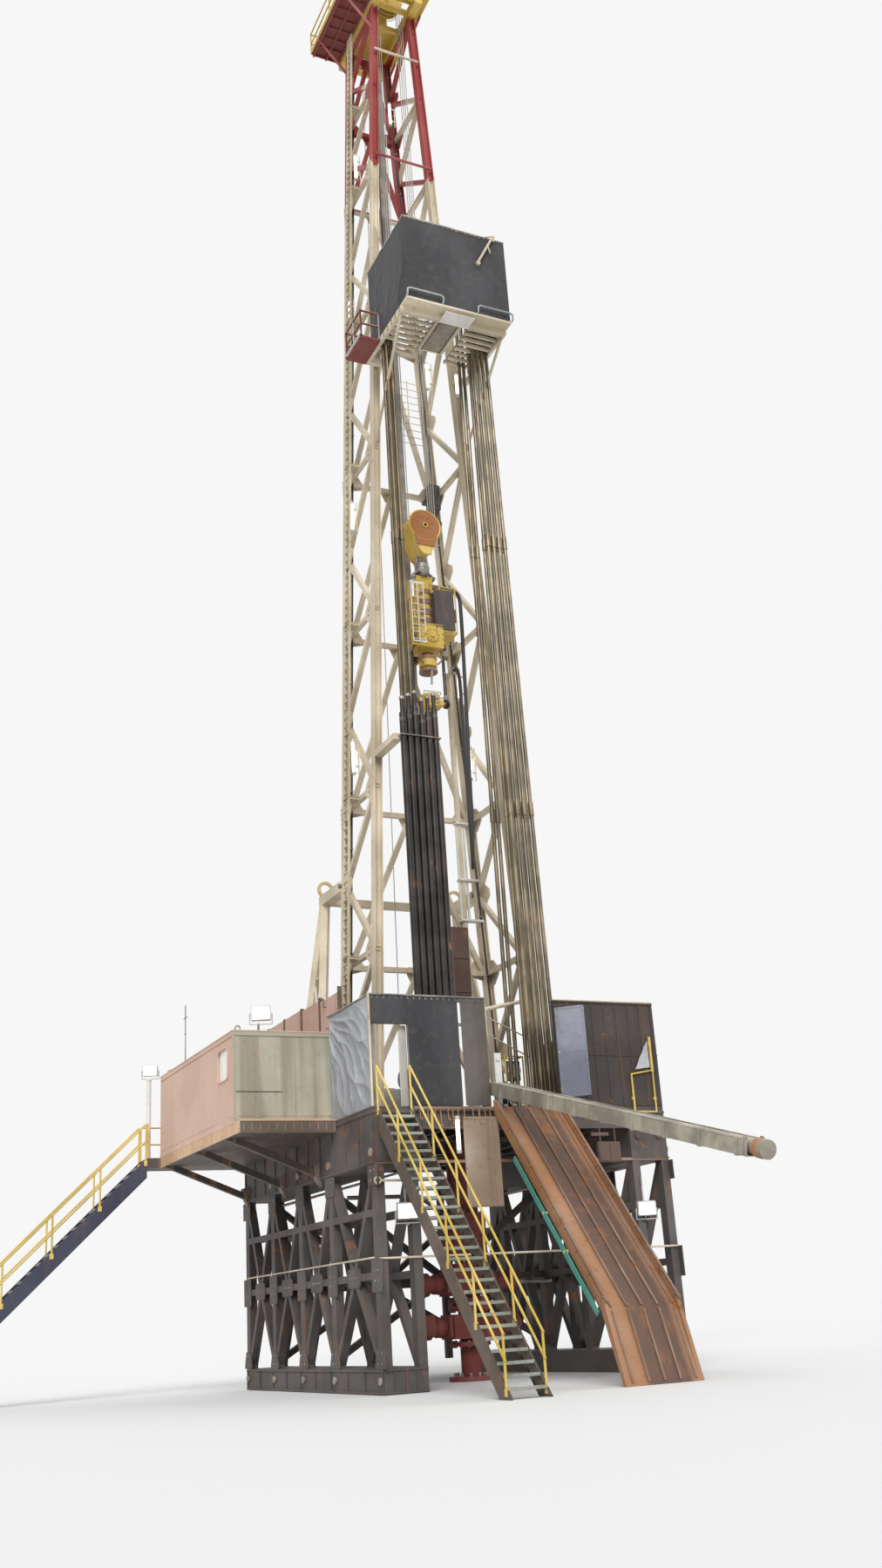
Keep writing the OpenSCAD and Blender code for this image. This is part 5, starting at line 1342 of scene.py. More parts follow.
class RIG_OT_ramp(bpy.types.Operator):
    """Adds the ramp's ribs, wear strips, hinge and rails"""

    bl_idname = "rig.ramp"
    bl_label = "Ramp"

    def execute(self, context):
        slope = (FLOOR - 0.83) / 2.4
        length = math.hypot(2.4, FLOOR - 0.83)
        lean = Matrix.Translation((0.05, FRONT, FLOOR)) @ Matrix.Rotation(math.atan(slope), 4, "X")
        strips = row(plate((-0.44, -length + 0.02, 0.001), (-0.41, -0.03, 0.018), 0.005), 5, (0.2125, 0, 0))
        laid(lean, [strips], "ramp_wear_strips", "rusty_steel")
        ribs = [row(plate((-0.47, -0.10, -0.112), (0.47, -0.075, -0.055)), 9, (0, -0.415, 0))]
        ribs += [plate((x, -length + 0.05, -0.10), (x + 0.04, -0.06, -0.055)) for x in (-0.40, 0.0, 0.36)]
        laid(lean, ribs, "ramp_ribs", "rusty_steel")
        curbs = []
        for x in (-0.50, 0.50):
            curbs.append(tube([(x, 0.0, 0.082), (x, -length + 0.03, 0.082)], 0.020, 14))
            curbs.append(row(plate((x - 0.028, -0.16, 0.0), (x + 0.028, -0.14, 0.085)), 10, (0, -0.37, 0)))
        laid(lean, curbs, "ramp_curbs", "rusty_steel")
        # The teal plate on the ramp's left side is painted light: the green lamp light on its stringer's side
        # face.
        teal = plate((-0.576, -3.58, -0.125), (-0.562, -0.93, -0.045))
        laid(lean, [teal], "ramp_side_painted_lamplight", "rail_teal", ROOT)
        stubs = [plate((-0.584, y - 0.014, -0.10), (-0.515, y + 0.014, -0.07)) for y in (-1.942, -2.60)]
        laid(lean, stubs, "ramp_side_stubs", "rail_yellow", ROOT)
        knuckles = row(drum((-0.42, -2.140, FLOOR + 0.016), 0.022, 0.07, "X", 20, 0.004), 8, (0.134, 0, 0))
        finished(knuckles, "ramp_knuckles", "worn_steel")
        foot = Matrix.Translation((0.05, -4.55, 0.83)) @ Matrix.Rotation(math.atan(0.83 / 0.33), 4, "X")
        strips = row(plate((-0.44, -0.86, 0.001), (-0.41, -0.02, 0.016), 0.005), 5, (0.2125, 0, 0))
        laid(foot, [strips], "ramp_foot_strips", "rusty_steel")
        return {"FINISHED"}


class RIG_OT_trough(bpy.types.Operator):
    """Adds the trough's bands, stops, pin and the end of its pipe"""

    bl_idname = "rig.trough"
    bl_label = "Trough"

    def execute(self, context):
        lay = Matrix.Translation((-0.33, -1.98, 3.80)) @ Matrix.Rotation(math.radians(15), 4, "X")
        low = -0.115
        bands = []
        for k in range(9):
            y = -0.35 - 0.66 * k
            bands.append(plate((-0.123, y - 0.02, low - 0.012), (0.123, y + 0.02, low + 0.002), 0.003))
            for s in (-1, 1):
                bands.append(plate((s * 0.113, y - 0.02, low - 0.010), (s * 0.125, y + 0.02, 0.058), 0.003))
        for s in (-1, 1):
            bands.append(tube([(s * 0.109, -0.10, 0.056), (s * 0.109, -5.78, 0.056)], 0.010, 10))
        laid(lay, bands, "trough_bands", "trough_pale", "trough")
        centre = low + 0.012 + 0.085 + 0.0003
        collar = drum((0, -5.90, centre), 0.094, 0.10, "Y", 40, 0.006)
        laid(lay, [collar], "pipe_red_collar", "cap_orange", "trough")
        rim = [ring((0, -5.98, centre), 0.078, 0.014, "Y", 40)]
        rim += [ring((0, -5.86 - 0.014 * k, centre), 0.1005, 0.004, "Y", 40) for k in range(6)]
        laid(lay, rim, "pipe_thread_protector", "rust_ring", "trough")
        face = drum((0, -6.003, centre), 0.070, 0.006, "Y", 40, 0.002)
        laid(lay, [face], "pipe_end_face", "speckled", "trough")
        stops = [plate((s * 0.095, -5.79, low + 0.01), (s * 0.118, -5.74, 0.085)) for s in (-1, 1)]
        stops.append(drum((0, 0, 0), 0.042, 0.235, "X", 28, 0.005))
        laid(lay, stops, "trough_stops", "worn_steel", "trough")
        caps = [drum((-0.33 + s * 0.170, -1.98, 3.80), 0.042, 0.014, "X", 24, 0.004) for s in (-1, 1)]
        cheek = [(-2.10, 3.502), (-1.86, 3.502), (-1.93, 3.62), (-2.03, 3.62)]
        caps += [cutout(cheek, 0.02, "X", -0.33 + s * 0.172) for s in (-1, 1)]
        made(caps, "trough_pin_caps", "worn_steel")
        return {"FINISHED"}


class RIG_OT_doghouse(bpy.types.Operator):
    """Adds the doghouse's ribs, frames, roof, wind panels, ledge, lugs and lamp"""

    bl_idname = "rig.doghouse"
    bl_label = "Doghouse"

    def execute(self, context):
        low, high = 3.56, 4.715
        left, right, front, back = -3.63, -2.095, -0.55, 3.315
        ends = [
            row(plate((left + 0.05, front - 0.006, 3.60), (left + 0.30, front, 4.69)), 5, (0.297, 0, 0)),
            row(self.rib(left + 0.055, back, "Y"), 2, (0.1515, 0, 0)),
            row(self.rib(left + 0.80, back, "Y"), 5, (0.1515, 0, 0))]
        made(ends, "end_wall_ribs", "cream_streaked", ROOT)
        seam = plate((left + 0.03, front - 0.011, 3.925), (left + 0.70, front - 0.004, 3.938), 0.002)
        finished(seam, "end_wall_seam", "brown_side", ROOT)
        sides = [
            row(self.rib(right, 1.05, "X"), 15, (0, 0.1515, 0)),
            row(self.rib(right, front + 0.06, "X"), 6, (0, 0.1515, 0))]
        sides += [
            plate((left - 0.004, a, 3.60), (left, b, 4.69), 0.002)
            for a, b in ((front + 0.02, -0.30), (0.19, 1.20), (1.21, 2.24), (2.25, back - 0.02))]
        made(sides, "side_wall_ribs", "salmon_paint")
        trim = [
            plate((x - 0.012, y - 0.012, low), (x + 0.012, y + 0.012, high))
            for x in (left, right) for y in (front, back)]
        for z in (low - 0.03, high + 0.02):
            z0, z1 = z - 0.03, z + 0.03
            trim += [
                plate((left - 0.014, front - 0.014, z0), (right + 0.014, front + 0.010, z1)),
                plate((left - 0.014, back - 0.010, z0), (right + 0.014, back + 0.014, z1)),
                plate((left - 0.014, front, z0), (left + 0.010, back, z1)),
                plate((right - 0.010, front, z0), (right + 0.014, back, z1))]
        made(trim, "doghouse_frame", "doghouse_trim", ROOT)
        w0, w1, z0, z1 = -0.29, 0.18, 4.145, 4.595
        bend = [
            *self.arc(w1, z1, 1, 1), *self.arc(w0, z1, -1, 1)[::-1], *self.arc(w0, z0, -1, -1),
            *self.arc(w1, z0, 1, -1)[::-1]]
        bead = tube([(left - 0.004, y, z) for y, z in bend], 0.013, 12, True)
        finished(bead, "window_frame", "salmon_paint")
        fills = [
            cutout([(y, z), *self.arc(y, z, sy, sz)], 0.010, "X", left + 0.008)
            for sy, y in ((-1, w0), (1, w1)) for sz, z in ((-1, z0), (1, z1))]
        made(fills, "window_corners", "salmon_paint")
        doors = [
            plate((-3.365, back - 0.005, low), (-3.33, back + 0.016, 4.565), 0.003),
            plate((-2.91, back - 0.005, low), (-2.875, back + 0.016, 4.565), 0.003),
            plate((-3.365, back - 0.005, 4.56), (-2.875, back + 0.016, 4.60), 0.003)]
        doors += [
            plate((right - 0.005, 0.515, low), (right + 0.016, 0.55, 4.565), 0.003),
            plate((right - 0.005, 0.97, low), (right + 0.016, 1.005, 4.565), 0.003),
            plate((right - 0.005, 0.515, 4.56), (right + 0.016, 1.005, 4.60), 0.003)]
        made(doors, "door_frames", "grey_paint")
        roof = [plate((left - 0.02, front - 0.02, 4.765), (right + 0.02, back + 0.02, 4.785))]
        roof.append(row(
            plate((left, front + 0.06, 4.785), (right, front + 0.10, 4.797), 0.003), 17, (0, 0.227, 0)))
        made(roof, "roof_sheet", "salmon_paint")
        eyes = [
            ring((x, y, 4.83), 0.035, 0.010, "Y", 20)
            for x in (left + 0.10, right - 0.10) for y in (front + 0.12, back - 0.12)]
        eyes += [
            drum((-2.9, 2.4, 4.86), 0.06, 0.15, "Z", 24, 0.006),
            drum((-2.9, 2.4, 4.95), 0.10, 0.03, "Z", 24, 0.010)]
        made(eyes, "roof_fittings", "worn_steel")
        panels = []
        for k, tall in enumerate((5.33, 5.365, 5.39, 5.39, 5.39)):
            y0 = -0.80 + k * 0.783
            panels.append(plate((-2.135, y0, 4.78), (-2.118, y0 + 0.768, tall)))
            panels.append(
                row(
                    plate((-2.141, y0 + 0.05, 4.80), (-2.134, y0 + 0.09, tall - 0.02), 0.002), 5,
                    (0, 0.157, 0)))
        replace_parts(made(panels, "roof_wind_panels", "wind_panel", ROOT), "left_walls")
        posts = [
            plate((-2.155, -0.815 + 0.783 * k, 4.78), (-2.095, -0.785 + 0.783 * k, 5.40)) for k in range(6)]
        posts += [tube(
            [(-2.150, -0.30, 5.20), (-2.185, -0.30, 5.20), (-2.185, -0.30, 5.32), (-2.185, -0.12, 5.33)],
            0.010, 8)]
        made(posts, "roof_panel_posts", "brown_side", ROOT)
        whip = [
            tube([(-3.50, 2.37, 4.78), (-3.50, 2.37, 5.75)], 0.009, 10),
            drum((-3.50, 2.37, 4.80), 0.035, 0.04, "Z", 20, 0.004)]
        whip += [
            tube([(-3.50, 2.37 - r, z), (-3.50, 2.37 + r, z)], 0.007, 8)
            for z, r in ((5.55, 0.10), (5.30, 0.06))]
        made(whip, "roof_whip", "worn_steel")
        finished(
            plate((-3.64, -0.844, 3.335), (-2.26, -0.836, 3.497), 0.003), "ledge_plate", "brown_side", ROOT)
        edge = [
            plate((-3.64, -0.836, 3.494), (-2.26, -0.55, 3.508), 0.003),
            tube([(-3.635, -0.845, 3.503), (-2.27, -0.845, 3.503)], 0.010, 10),
            plate((-3.642, -0.84, 3.345), (-3.632, 3.29, 3.50), 0.003)]
        made(edge, "ledge_edge", "orange_lit", ROOT)
        lip = row(plate((-3.60, -0.848, 3.37), (-3.585, -0.838, 3.47), 0.002), 12, (0.119, 0, 0))
        finished(lip, "ledge_ribs", "rust_paint")
        arms = []
        for y in (-0.10, 1.40, 3.15):
            arms.append(cutout([(-2.32, 2.80), (-2.24, 2.66), (-2.24, 3.02), (-2.36, 2.98)], 0.11, "Y", y))
            arms.append(drum((-2.30, y, 2.84), 0.028, 0.15, "Y", 20, 0.004))
            arms.append(drum((-3.50, y, 3.33), 0.028, 0.13, "Y", 20, 0.004))
        made(arms, "strut_lugs", "rust_paint")
        flood((-3.23, -0.56, 5.03), "doghouse_flood", (-0.35, -1, -0.1), 0.14)
        arm = [
            tube([(-3.23, -0.44, 4.78), (-3.23, -0.46, 4.90)], 0.016, 10),
            drum((-3.23, -0.44, 4.79), 0.05, 0.02, "Z", 24, 0.004)]
        made(arm, "doghouse_flood_arm", "worn_steel")
        return {"FINISHED"}

    def rib(self, x, y, axis):
        if axis == "Y":
            return plate((x - 0.026, y, 3.60), (x + 0.052, y + 0.012, 4.69), 0.005)
        return plate((x, y - 0.026, 3.60), (x + 0.012, y + 0.052, 4.69), 0.005)

    def arc(self, y, z, sy, sz):
        """A quarter turn inside a corner of the window."""
        bends = [math.radians(d) for d in (0, 30, 60, 90)]
        return [(y + sy * 0.07 * (math.cos(a) - 1), z + sz * 0.07 * (math.sin(a) - 1)) for a in bends]


class RIG_OT_porch(bpy.types.Operator):
    """Replaces the square handrails with tubes and adds the porch's lamp"""

    bl_idname = "rig.porch"
    bl_label = "Porch and Floor Rails"

    def execute(self, context):
        runs = [
            rail_run([(-3.84, 3.788, FLOOR), (-2.26, 3.788, FLOOR)], 0.8),
            rail_run([(-2.08, 3.288, FLOOR), (2.238, 3.288, FLOOR), (2.238, 1.31, FLOOR)], 1.1)]
        rails = made(runs, "floor_rails", "rail_yellow", ROOT)
        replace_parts(rails, "handrails")
        toes = [
            plate((-2.08, 3.290, FLOOR), (2.24, 3.298, FLOOR + 0.07), 0.002),
            plate((2.236, 1.31, FLOOR), (2.246, 3.29, FLOOR + 0.07), 0.002)]
        made(toes, "toe_boards", "yellow_paint")
        porch = row(
            plate((-3.84, 3.34, FLOOR + 0.001), (-2.27, 3.346, FLOOR + 0.006), 0.001), 19, (0, 0.0245, 0))
        finished(porch, "porch_grating", "worn_steel")
        post = [
            tube([(-3.79, 3.50, FLOOR), (-3.79, 3.50, 4.74)], 0.036, 20),
            plate((-3.845, 3.44, FLOOR), (-3.735, 3.56, FLOOR + 0.012), 0.002),
            drum((-3.79, 3.50, 4.75), 0.045, 0.03, "Z", 24, 0.005)]
        made(post, "porch_lamp_post", "white_paint", ROOT)
        flood((-3.79, 3.44, 4.90), "porch_flood", (-0.4, -1, -0.1), 0.12)
        rail = rail_run([(-3.84, 3.33, FLOOR), (-3.84, 3.34, FLOOR)], 0.8)
        finished(rail, "porch_end_post", "rail_yellow", ROOT)
        return {"FINISHED"}


class RIG_OT_walls(bpy.types.Operator):
    """Lays creased tarpaulins over the wind walls and adds their frames"""

    bl_idname = "rig.walls"
    bl_label = "Wind Walls"

    def execute(self, context):
        for seed, (x0, x1, z0, name, finish) in enumerate((
                (-2.245, -1.665, 4.60, "tarp_over_door", "tarp"),
                (-1.675, -0.915, 3.51, "tarp_middle", "tarp"),
                (-0.875, -0.490, 3.51, "tarp_right", "tarp_lit"))):
            hung(
                tarp_sheet((x0, z0), (x1, 4.985), seed, 0.020),
                lambda u, w, d: (u, -2.124 - d, w), name, finish, "front_wall")
        hung(
            tarp_sheet((-2.10, 3.51), (-0.56, 4.985), 4, 0.080, (-0.45, 5.05), 84),
            lambda u, w, d: (-2.215 - d, u, w), "tarp_left", "grey_tarp", "left_walls")
        hung(
            tarp_sheet((-1.79, 3.51), (-1.67, 4.60), 2, 0.03, None, 16),
            lambda u, w, d: (u, -2.03 - d, w), "door_cloth", "door_cloth", "front_wall")
        bars = [
            tube([(-2.235, -2.13, 4.995), (-0.485, -2.13, 4.995)], 0.013, 10),
            tube([(-2.23, -2.12, 4.995), (-2.23, -0.56, 4.995)], 0.013, 10)]
        bars += [plate((x - 0.02, -2.11, 3.5), (x + 0.02, -2.07, 4.98)) for x in (-1.66, -0.93, -0.51)]
        bars += [plate((-2.20, -2.11, z - 0.02), (-0.50, -2.07, z + 0.02)) for z in (4.62, 4.95)]
        bars.append(plate((-1.66, -2.11, 3.88), (-0.93, -2.07, 3.92)))
        bars += [plate((-2.21, y - 0.02, 3.5), (-2.17, y + 0.02, 4.98)) for y in (-2.08, -1.33, -0.60)]
        bars += [plate((-2.21, -2.08, z - 0.02), (-2.17, -0.60, z + 0.02)) for z in (4.1, 4.93)]
        made(bars, "wall_frames", "worn_steel")
        eyes = row(ring((-2.20, -2.142, 4.95), 0.010, 0.003, "Y", 12), 20, (0.089, 0, 0))
        ties = row(tube([(-2.20, -2.142, 4.96), (-2.195, -2.148, 5.008)], 0.003, 6), 20, (0.089, 0, 0))
        made([eyes, ties], "tarp_eyelets", "worn_steel")
        finished(plate((-2.262, -2.158, 3.50), (-2.235, -2.13, 5.02)), "door_post", "cream_paint")
        right = [plate((0.575, -2.156, 3.52), (2.25, -2.150, 4.985), 0.002)]
        right += [
            row(plate((0.60, -2.163, 3.52), (0.63, -2.155, 4.98), 0.003), 9, (0.2, 0, 0)),
            plate((0.575, -2.172, 4.97), (2.25, -2.105, 4.995)),
            plate((0.575, -2.164, 4.22), (2.25, -2.155, 4.25), 0.003)]
        right += [
            plate((2.25, -2.10, 4.97), (2.262, 1.30, 4.995), 0.003),
            row(plate((2.25, -2.05, 3.52), (2.262, -2.02, 4.98)), 17, (0, 0.205, 0))]
        made(right, "right_wall_ribs", "brown_wall")
        top = tube([(0.58, -2.165, 5.005), (2.24, -2.165, 5.005), (2.245, 1.29, 5.005)], 0.011, 10)
        finished(top, "right_wall_rail", "cream_paint")
        gate = [
            tube([
                (1.76, -2.185, 3.43), (1.76, -2.185, 3.96), (2.12, -2.185, 4.02), (2.12, -2.185, 3.43),
                (1.76, -2.185, 3.43)], 0.016, 12),
            tube([(2.12, -2.185, 4.0), (2.12, -2.185, 4.50)], 0.020, 12)]
        gate += [
            plate((x - 0.02, -2.19, z - 0.02), (x + 0.02, -2.15, z + 0.02), 0.003)
            for x, z in ((1.76, 3.62), (2.12, 3.62), (2.12, 4.40))]
        made(gate, "end_gate", "rail_yellow", ROOT)
        flap = cutout([(1.84, 4.03), (2.09, 4.06), (2.09, 4.46)], 0.016, "Y", -2.172)
        crumple = bpy.data.textures.new("crumple", "CLOUDS")
        crumple.noise_scale = 0.09
        modified(flap, "REMESH", mode="VOXEL", voxel_size=0.008)
        modified(flap, "DISPLACE", texture=crumple, strength=0.02)
        finished(flap, "gate_flap", "grey_tarp")
        self.wing()
        return {"FINISHED"}

    def wing(self):
        """The wing's frame and seams, drawn along +x and turned about its pin."""
        lay = Matrix.Translation((0.605, -2.186, 3.615)) @ Matrix.Rotation(math.radians(-40), 4, "Z")
        parts = [
            plate((0.018, -0.018, 0.0), (0.398, 0.018, 0.030)),
            plate((0.018, -0.018, 1.235), (0.398, 0.018, 1.265)),
            plate((0.018, -0.016, 0.62), (0.398, 0.016, 0.645), 0.003),
            plate((0.018, -0.018, 0.0), (0.045, 0.018, 1.265)),
            plate((0.372, -0.018, 0.0), (0.400, 0.018, 1.265))]
        laid(lay, parts, "wing_frame", "blue_grey_paint", "wing")
        hardware = [
            row(bolt((0.031, -0.020, 0.06), "Y", 0.006, 0.005), 13, (0, 0, 0.095)),
            row(bolt((0.386, -0.020, 0.06), "Y", 0.006, 0.005), 13, (0, 0, 0.095))]
        hardware += [drum((0, 0, z), 0.0285, 0.05, "Z", 24, 0.004) for z in (0.12, 0.63, 1.14)]
        laid(lay, hardware, "wing_hardware", "worn_steel", "wing")


class RIG_OT_floor_edge(bpy.types.Operator):
    """Adds what hangs and stands along the floor's front edge and in the V-door"""

    bl_idname = "rig.floor_edge"
    bl_label = "Floor Edge"

    def execute(self, context):
        hang, shackles = [], []
        for x, drop in (
                (-1.58, 0.10), (-1.47, 0.16), (-1.36, 0.12), (-1.28, 0.19), (-1.17, 0.11), (-1.10, 0.17),
                (-1.02, 0.13), (-0.93, 0.09), (-0.80, 0.12), (-0.71, 0.16), (-0.62, 0.10), (-0.54, 0.14)):
            hang.append(tube([
                (x, -2.160, 3.44), (x, -2.172, 3.44 - drop), (x + 0.014, -2.180, 3.42 - drop),
                (x + 0.020, -2.172, 3.45 - drop)], 0.007, 8))
            shackles.append(ring((x, -2.162, 3.445), 0.016, 0.005, "X", 16))
        made(hang, "edge_hooks", "rust_ring", ROOT)
        made(shackles, "edge_shackles", "worn_steel")
        beam = [
            plate((-1.66, -2.156, 3.462), (-0.485, -2.150, 3.498), 0.002),
            plate((-2.25, -2.158, 2.762), (2.25, -2.151, 2.80), 0.002)]
        made(beam, "edge_plate", "rusty_steel")
        lamp((-1.06, -2.20, 3.12), "edge_lamp", 0.40)
        arm = tube([
            (-1.06, -2.16, 3.34), (-1.06, -2.20, 3.34), (-1.06, -2.20, 2.90), (-1.06, -2.15, 2.90)], 0.008, 8)
        finished(arm, "edge_lamp_arm", "worn_steel")
        panel = [
            plate((-0.955, -2.178, 2.20), (-0.43, -2.170, 2.23), 0.003),
            plate((-0.955, -2.178, 3.33), (-0.43, -2.170, 3.36), 0.003)]
        panel += [
            plate((x - 0.006, -2.182, 2.20), (x + 0.006, -2.170, 3.36), 0.002)
            for x in (-0.62, -0.585, -0.53)]
        panel += [tube([(x, -2.16, 3.34), (x, -2.16, 3.47)], 0.008, 8) for x in (-0.93, -0.70, -0.46)]
        made(panel, "panel_battens", "beige_panel")
        box = [
            plate((1.10, -2.185, 2.74), (1.46, -2.125, 3.02), 0.008),
            plate((1.115, -2.192, 2.76), (1.27, -2.184, 3.00), 0.003),
            plate((1.285, -2.192, 2.76), (1.445, -2.184, 3.00), 0.003),
            plate((1.02, -2.16, 3.10), (1.30, -2.13, 3.15))]
        box += [tube([(x, -2.145, 3.02), (x, -2.145, 3.23)], 0.010, 8) for x in (1.16, 1.40)]
        made(box, "edge_box", "brown_cabinet", ROOT)
        braces = [
            tube([(-0.487, -2.12, z), (half(z1) - 0.07, -0.28, z1)], r, 10)
            for z, z1, r in ((4.738, 4.80, 0.010), (4.495, 4.50, 0.010), (4.84, 5.42, 0.030))]
        made(braces, "wall_braces", "cream_paint")
        post = [
            plate((-0.25, -1.84, FLOOR), (-0.14, -1.76, 4.29), 0.006),
            plate((-0.28, -1.87, FLOOR), (-0.11, -1.73, FLOOR + 0.015), 0.003),
            drum((-0.195, -1.845, 4.20), 0.030, 0.02, "Y", 20, 0.004)]
        made(post, "vdoor_post", "white_paint", ROOT)
        console = [
            tube([(0.58, y, FLOOR), (0.58, y, 4.48), (0.88, y, 4.48), (0.88, y, FLOOR)], 0.016, 12)
            for y in (-0.60, -0.40)]
        console += [
            tube([(x, -0.60, z), (x, -0.40, z)], 0.014, 10) for x in (0.58, 0.88) for z in (4.0, 4.48)]
        made(console, "console_frame", "rail_yellow", ROOT)
        body = [
            plate((0.60, -0.57, FLOOR + 0.10), (0.86, -0.43, 4.02), 0.010),
            plate((0.62, -0.58, 4.12), (0.84, -0.50, 4.42), 0.012)]
        made(body, "console_body", "grey_paint")
        dial = [
            drum((0.73, -0.588, 4.27), 0.10, 0.016, "Y", 40, 0.004),
            ring((0.73, -0.596, 4.27), 0.10, 0.008, "Y", 40)]
        made(dial, "console_dial", "white_paint", ROOT)
        return {"FINISHED"}


class RIG_OT_substructure(bpy.types.Operator):
    """Adds pins, gussets, flanges, rails, pipes, bars and lamps to the substructure"""

    bl_idname = "rig.substructure"
    bl_label = "Substructure"

    def execute(self, context):
        posts = (-2.07, -0.5, 0.73, 1.97, 3.22)
        gussets, pins, bolts = [], [], []
        for y in posts:
            for low, high, edge in ((0.30, 0.54, 0.35), (1.20, 1.60, 1.60), (2.50, 2.76, 2.76)):
                outline = [
                    (y - 0.17, low), (y + 0.17, low), (y + 0.17, edge), (y + 0.10, high), (y - 0.10, high),
                    (y - 0.17, edge)]
                gussets.append(cutout(outline, 0.016, "X", -2.254))
                nut = bolt((-2.264, y - 0.06, (low + high) / 2 - 0.06), "X", 0.013)
                bolts.append(row(row(nut, 2, (0, 0.12, 0)), 2, (0, 0, 0.12)))
            pins += [
                drum((-2.266, y, 2.92), 0.055, 0.05, "X", 28, 0.008),
                drum((-2.266, y, 0.16), 0.050, 0.04, "X", 28, 0.008)]
        for a, b in zip(posts, posts[1:]):
            middle = (a + b) / 2
            gussets.append(cutout([
                (middle - 0.20, 1.28), (middle + 0.20, 1.28), (middle + 0.24, 1.40), (middle + 0.20, 1.52),
                (middle - 0.20, 1.52), (middle - 0.24, 1.40)], 0.016, "X", -2.254))
            bolts.append(row(bolt((-2.264, middle - 0.12, 1.40), "X", 0.013), 4, (0, 0.08, 0)))
        paired(gussets, "frame_gussets", "dark_steel")
        paired(pins, "frame_pins", "worn_steel")
        paired(bolts, "frame_bolts", "worn_steel")
        beams = []
        for low, high, count, step in ((2.79, 3.43, 12, 0.49), (0.02, 0.28, 10, 0.60)):
            beams += [plate((-2.268, FRONT, z - 0.015), (-SIDE, 3.30, z + 0.015), 0.003) for z in (low, high)]
            beams.append(row(plate((-2.266, -2.13, low), (-SIDE, -2.11, high), 0.002), count, (0, step, 0)))
        paired(beams, "beam_flanges", "dark_steel")
        fronts = [
            plate((-2.25, -2.166, z - 0.012), (-1.65, -2.150, z + 0.012), 0.003)
            for z in (0.02, 0.28, 2.80, 3.42)]
        fronts += [
            plate((x - 0.010, -2.164, 0.03), (x + 0.010, -2.150, 0.27), 0.002) for x in (-2.1, -1.95, -1.8)]
        fronts += [drum((x, -2.162, 3.10), 0.05, 0.03, "Y", 24, 0.006) for x in (-2.12, -1.78)]
        paired(fronts, "front_flanges", "dark_steel")
        rails = [
            tube([(-2.262, -2.0, 1.62), (-2.262, 3.2, 1.62)], 0.012, 10),
            tube([(-SIDE, -2.165, 1.60), (SIDE, -2.165, 1.60)], 0.014, 10),
            tube([(-2.20, -2.20, 2.55), (-1.76, -2.20, 2.545)], 0.016, 10),
            ring((-2.245, -2.20, 2.552), 0.040, 0.013, "Y", 28)]
        rails += [tube([(x, -2.15, 2.55), (x, -2.20, 2.55)], 0.014, 8) for x in (-2.16, -1.80)]
        made(rails, "pale_rails", "cream_paint")
        pipes = [tube([(x, -2.0, 0.34), (x, -2.0, 2.70), (x, 3.1, 2.70)], 0.022, 12) for x in (-1.70, 1.70)]
        pipes += [
            tube([(-1.72, 0.2, 2.55), (-0.6, 0.2, 2.55), (-0.35, 0.0, 2.30)], 0.03, 14),
            tube([(1.72, 0.6, 1.29), (1.2, 0.4, 1.29), (0.78, 0.0, 1.29)], 0.026, 14)]
        made(pipes, "floor_pipes", "worn_steel")
        joists = [row(plate((-1.62, -0.9, 3.23), (1.62, -0.88, 3.26), 0.002), 3, (0, 0.9, 0))]
        joists += [
            plate((x - 0.03, -2.05, 3.20), (x + 0.03, 3.2, 3.215), 0.003) for x in (-1.2, -0.78, 0.78, 1.2)]
        made(joists, "under_floor_bars", "dark_steel")
        flood((-1.87, -2.26, 2.16), "left_flood", (-0.35, -1, -0.15), 0.14)
        flood((1.74, -2.26, 2.10), "right_flood", (-0.35, -1, -0.15), 0.13)
        arms = [
            tube([(x, y, z), (x, -2.16, z), (x, -2.16, 2.54)], 0.013, 10)
            for x, y, z in ((-1.86, -2.23, 2.0), (1.75, -2.23, 1.95))]
        made(arms, "flood_arms", "worn_steel")
        red = [
            plate((-0.78, -0.16, 0.62), (-0.60, 0.16, 0.90), 0.012),
            plate((-0.76, -0.175, 0.66), (-0.62, -0.16, 0.86))]
        made(red, "valve_box", "preventer_red", ROOT)
        return {"FINISHED"}


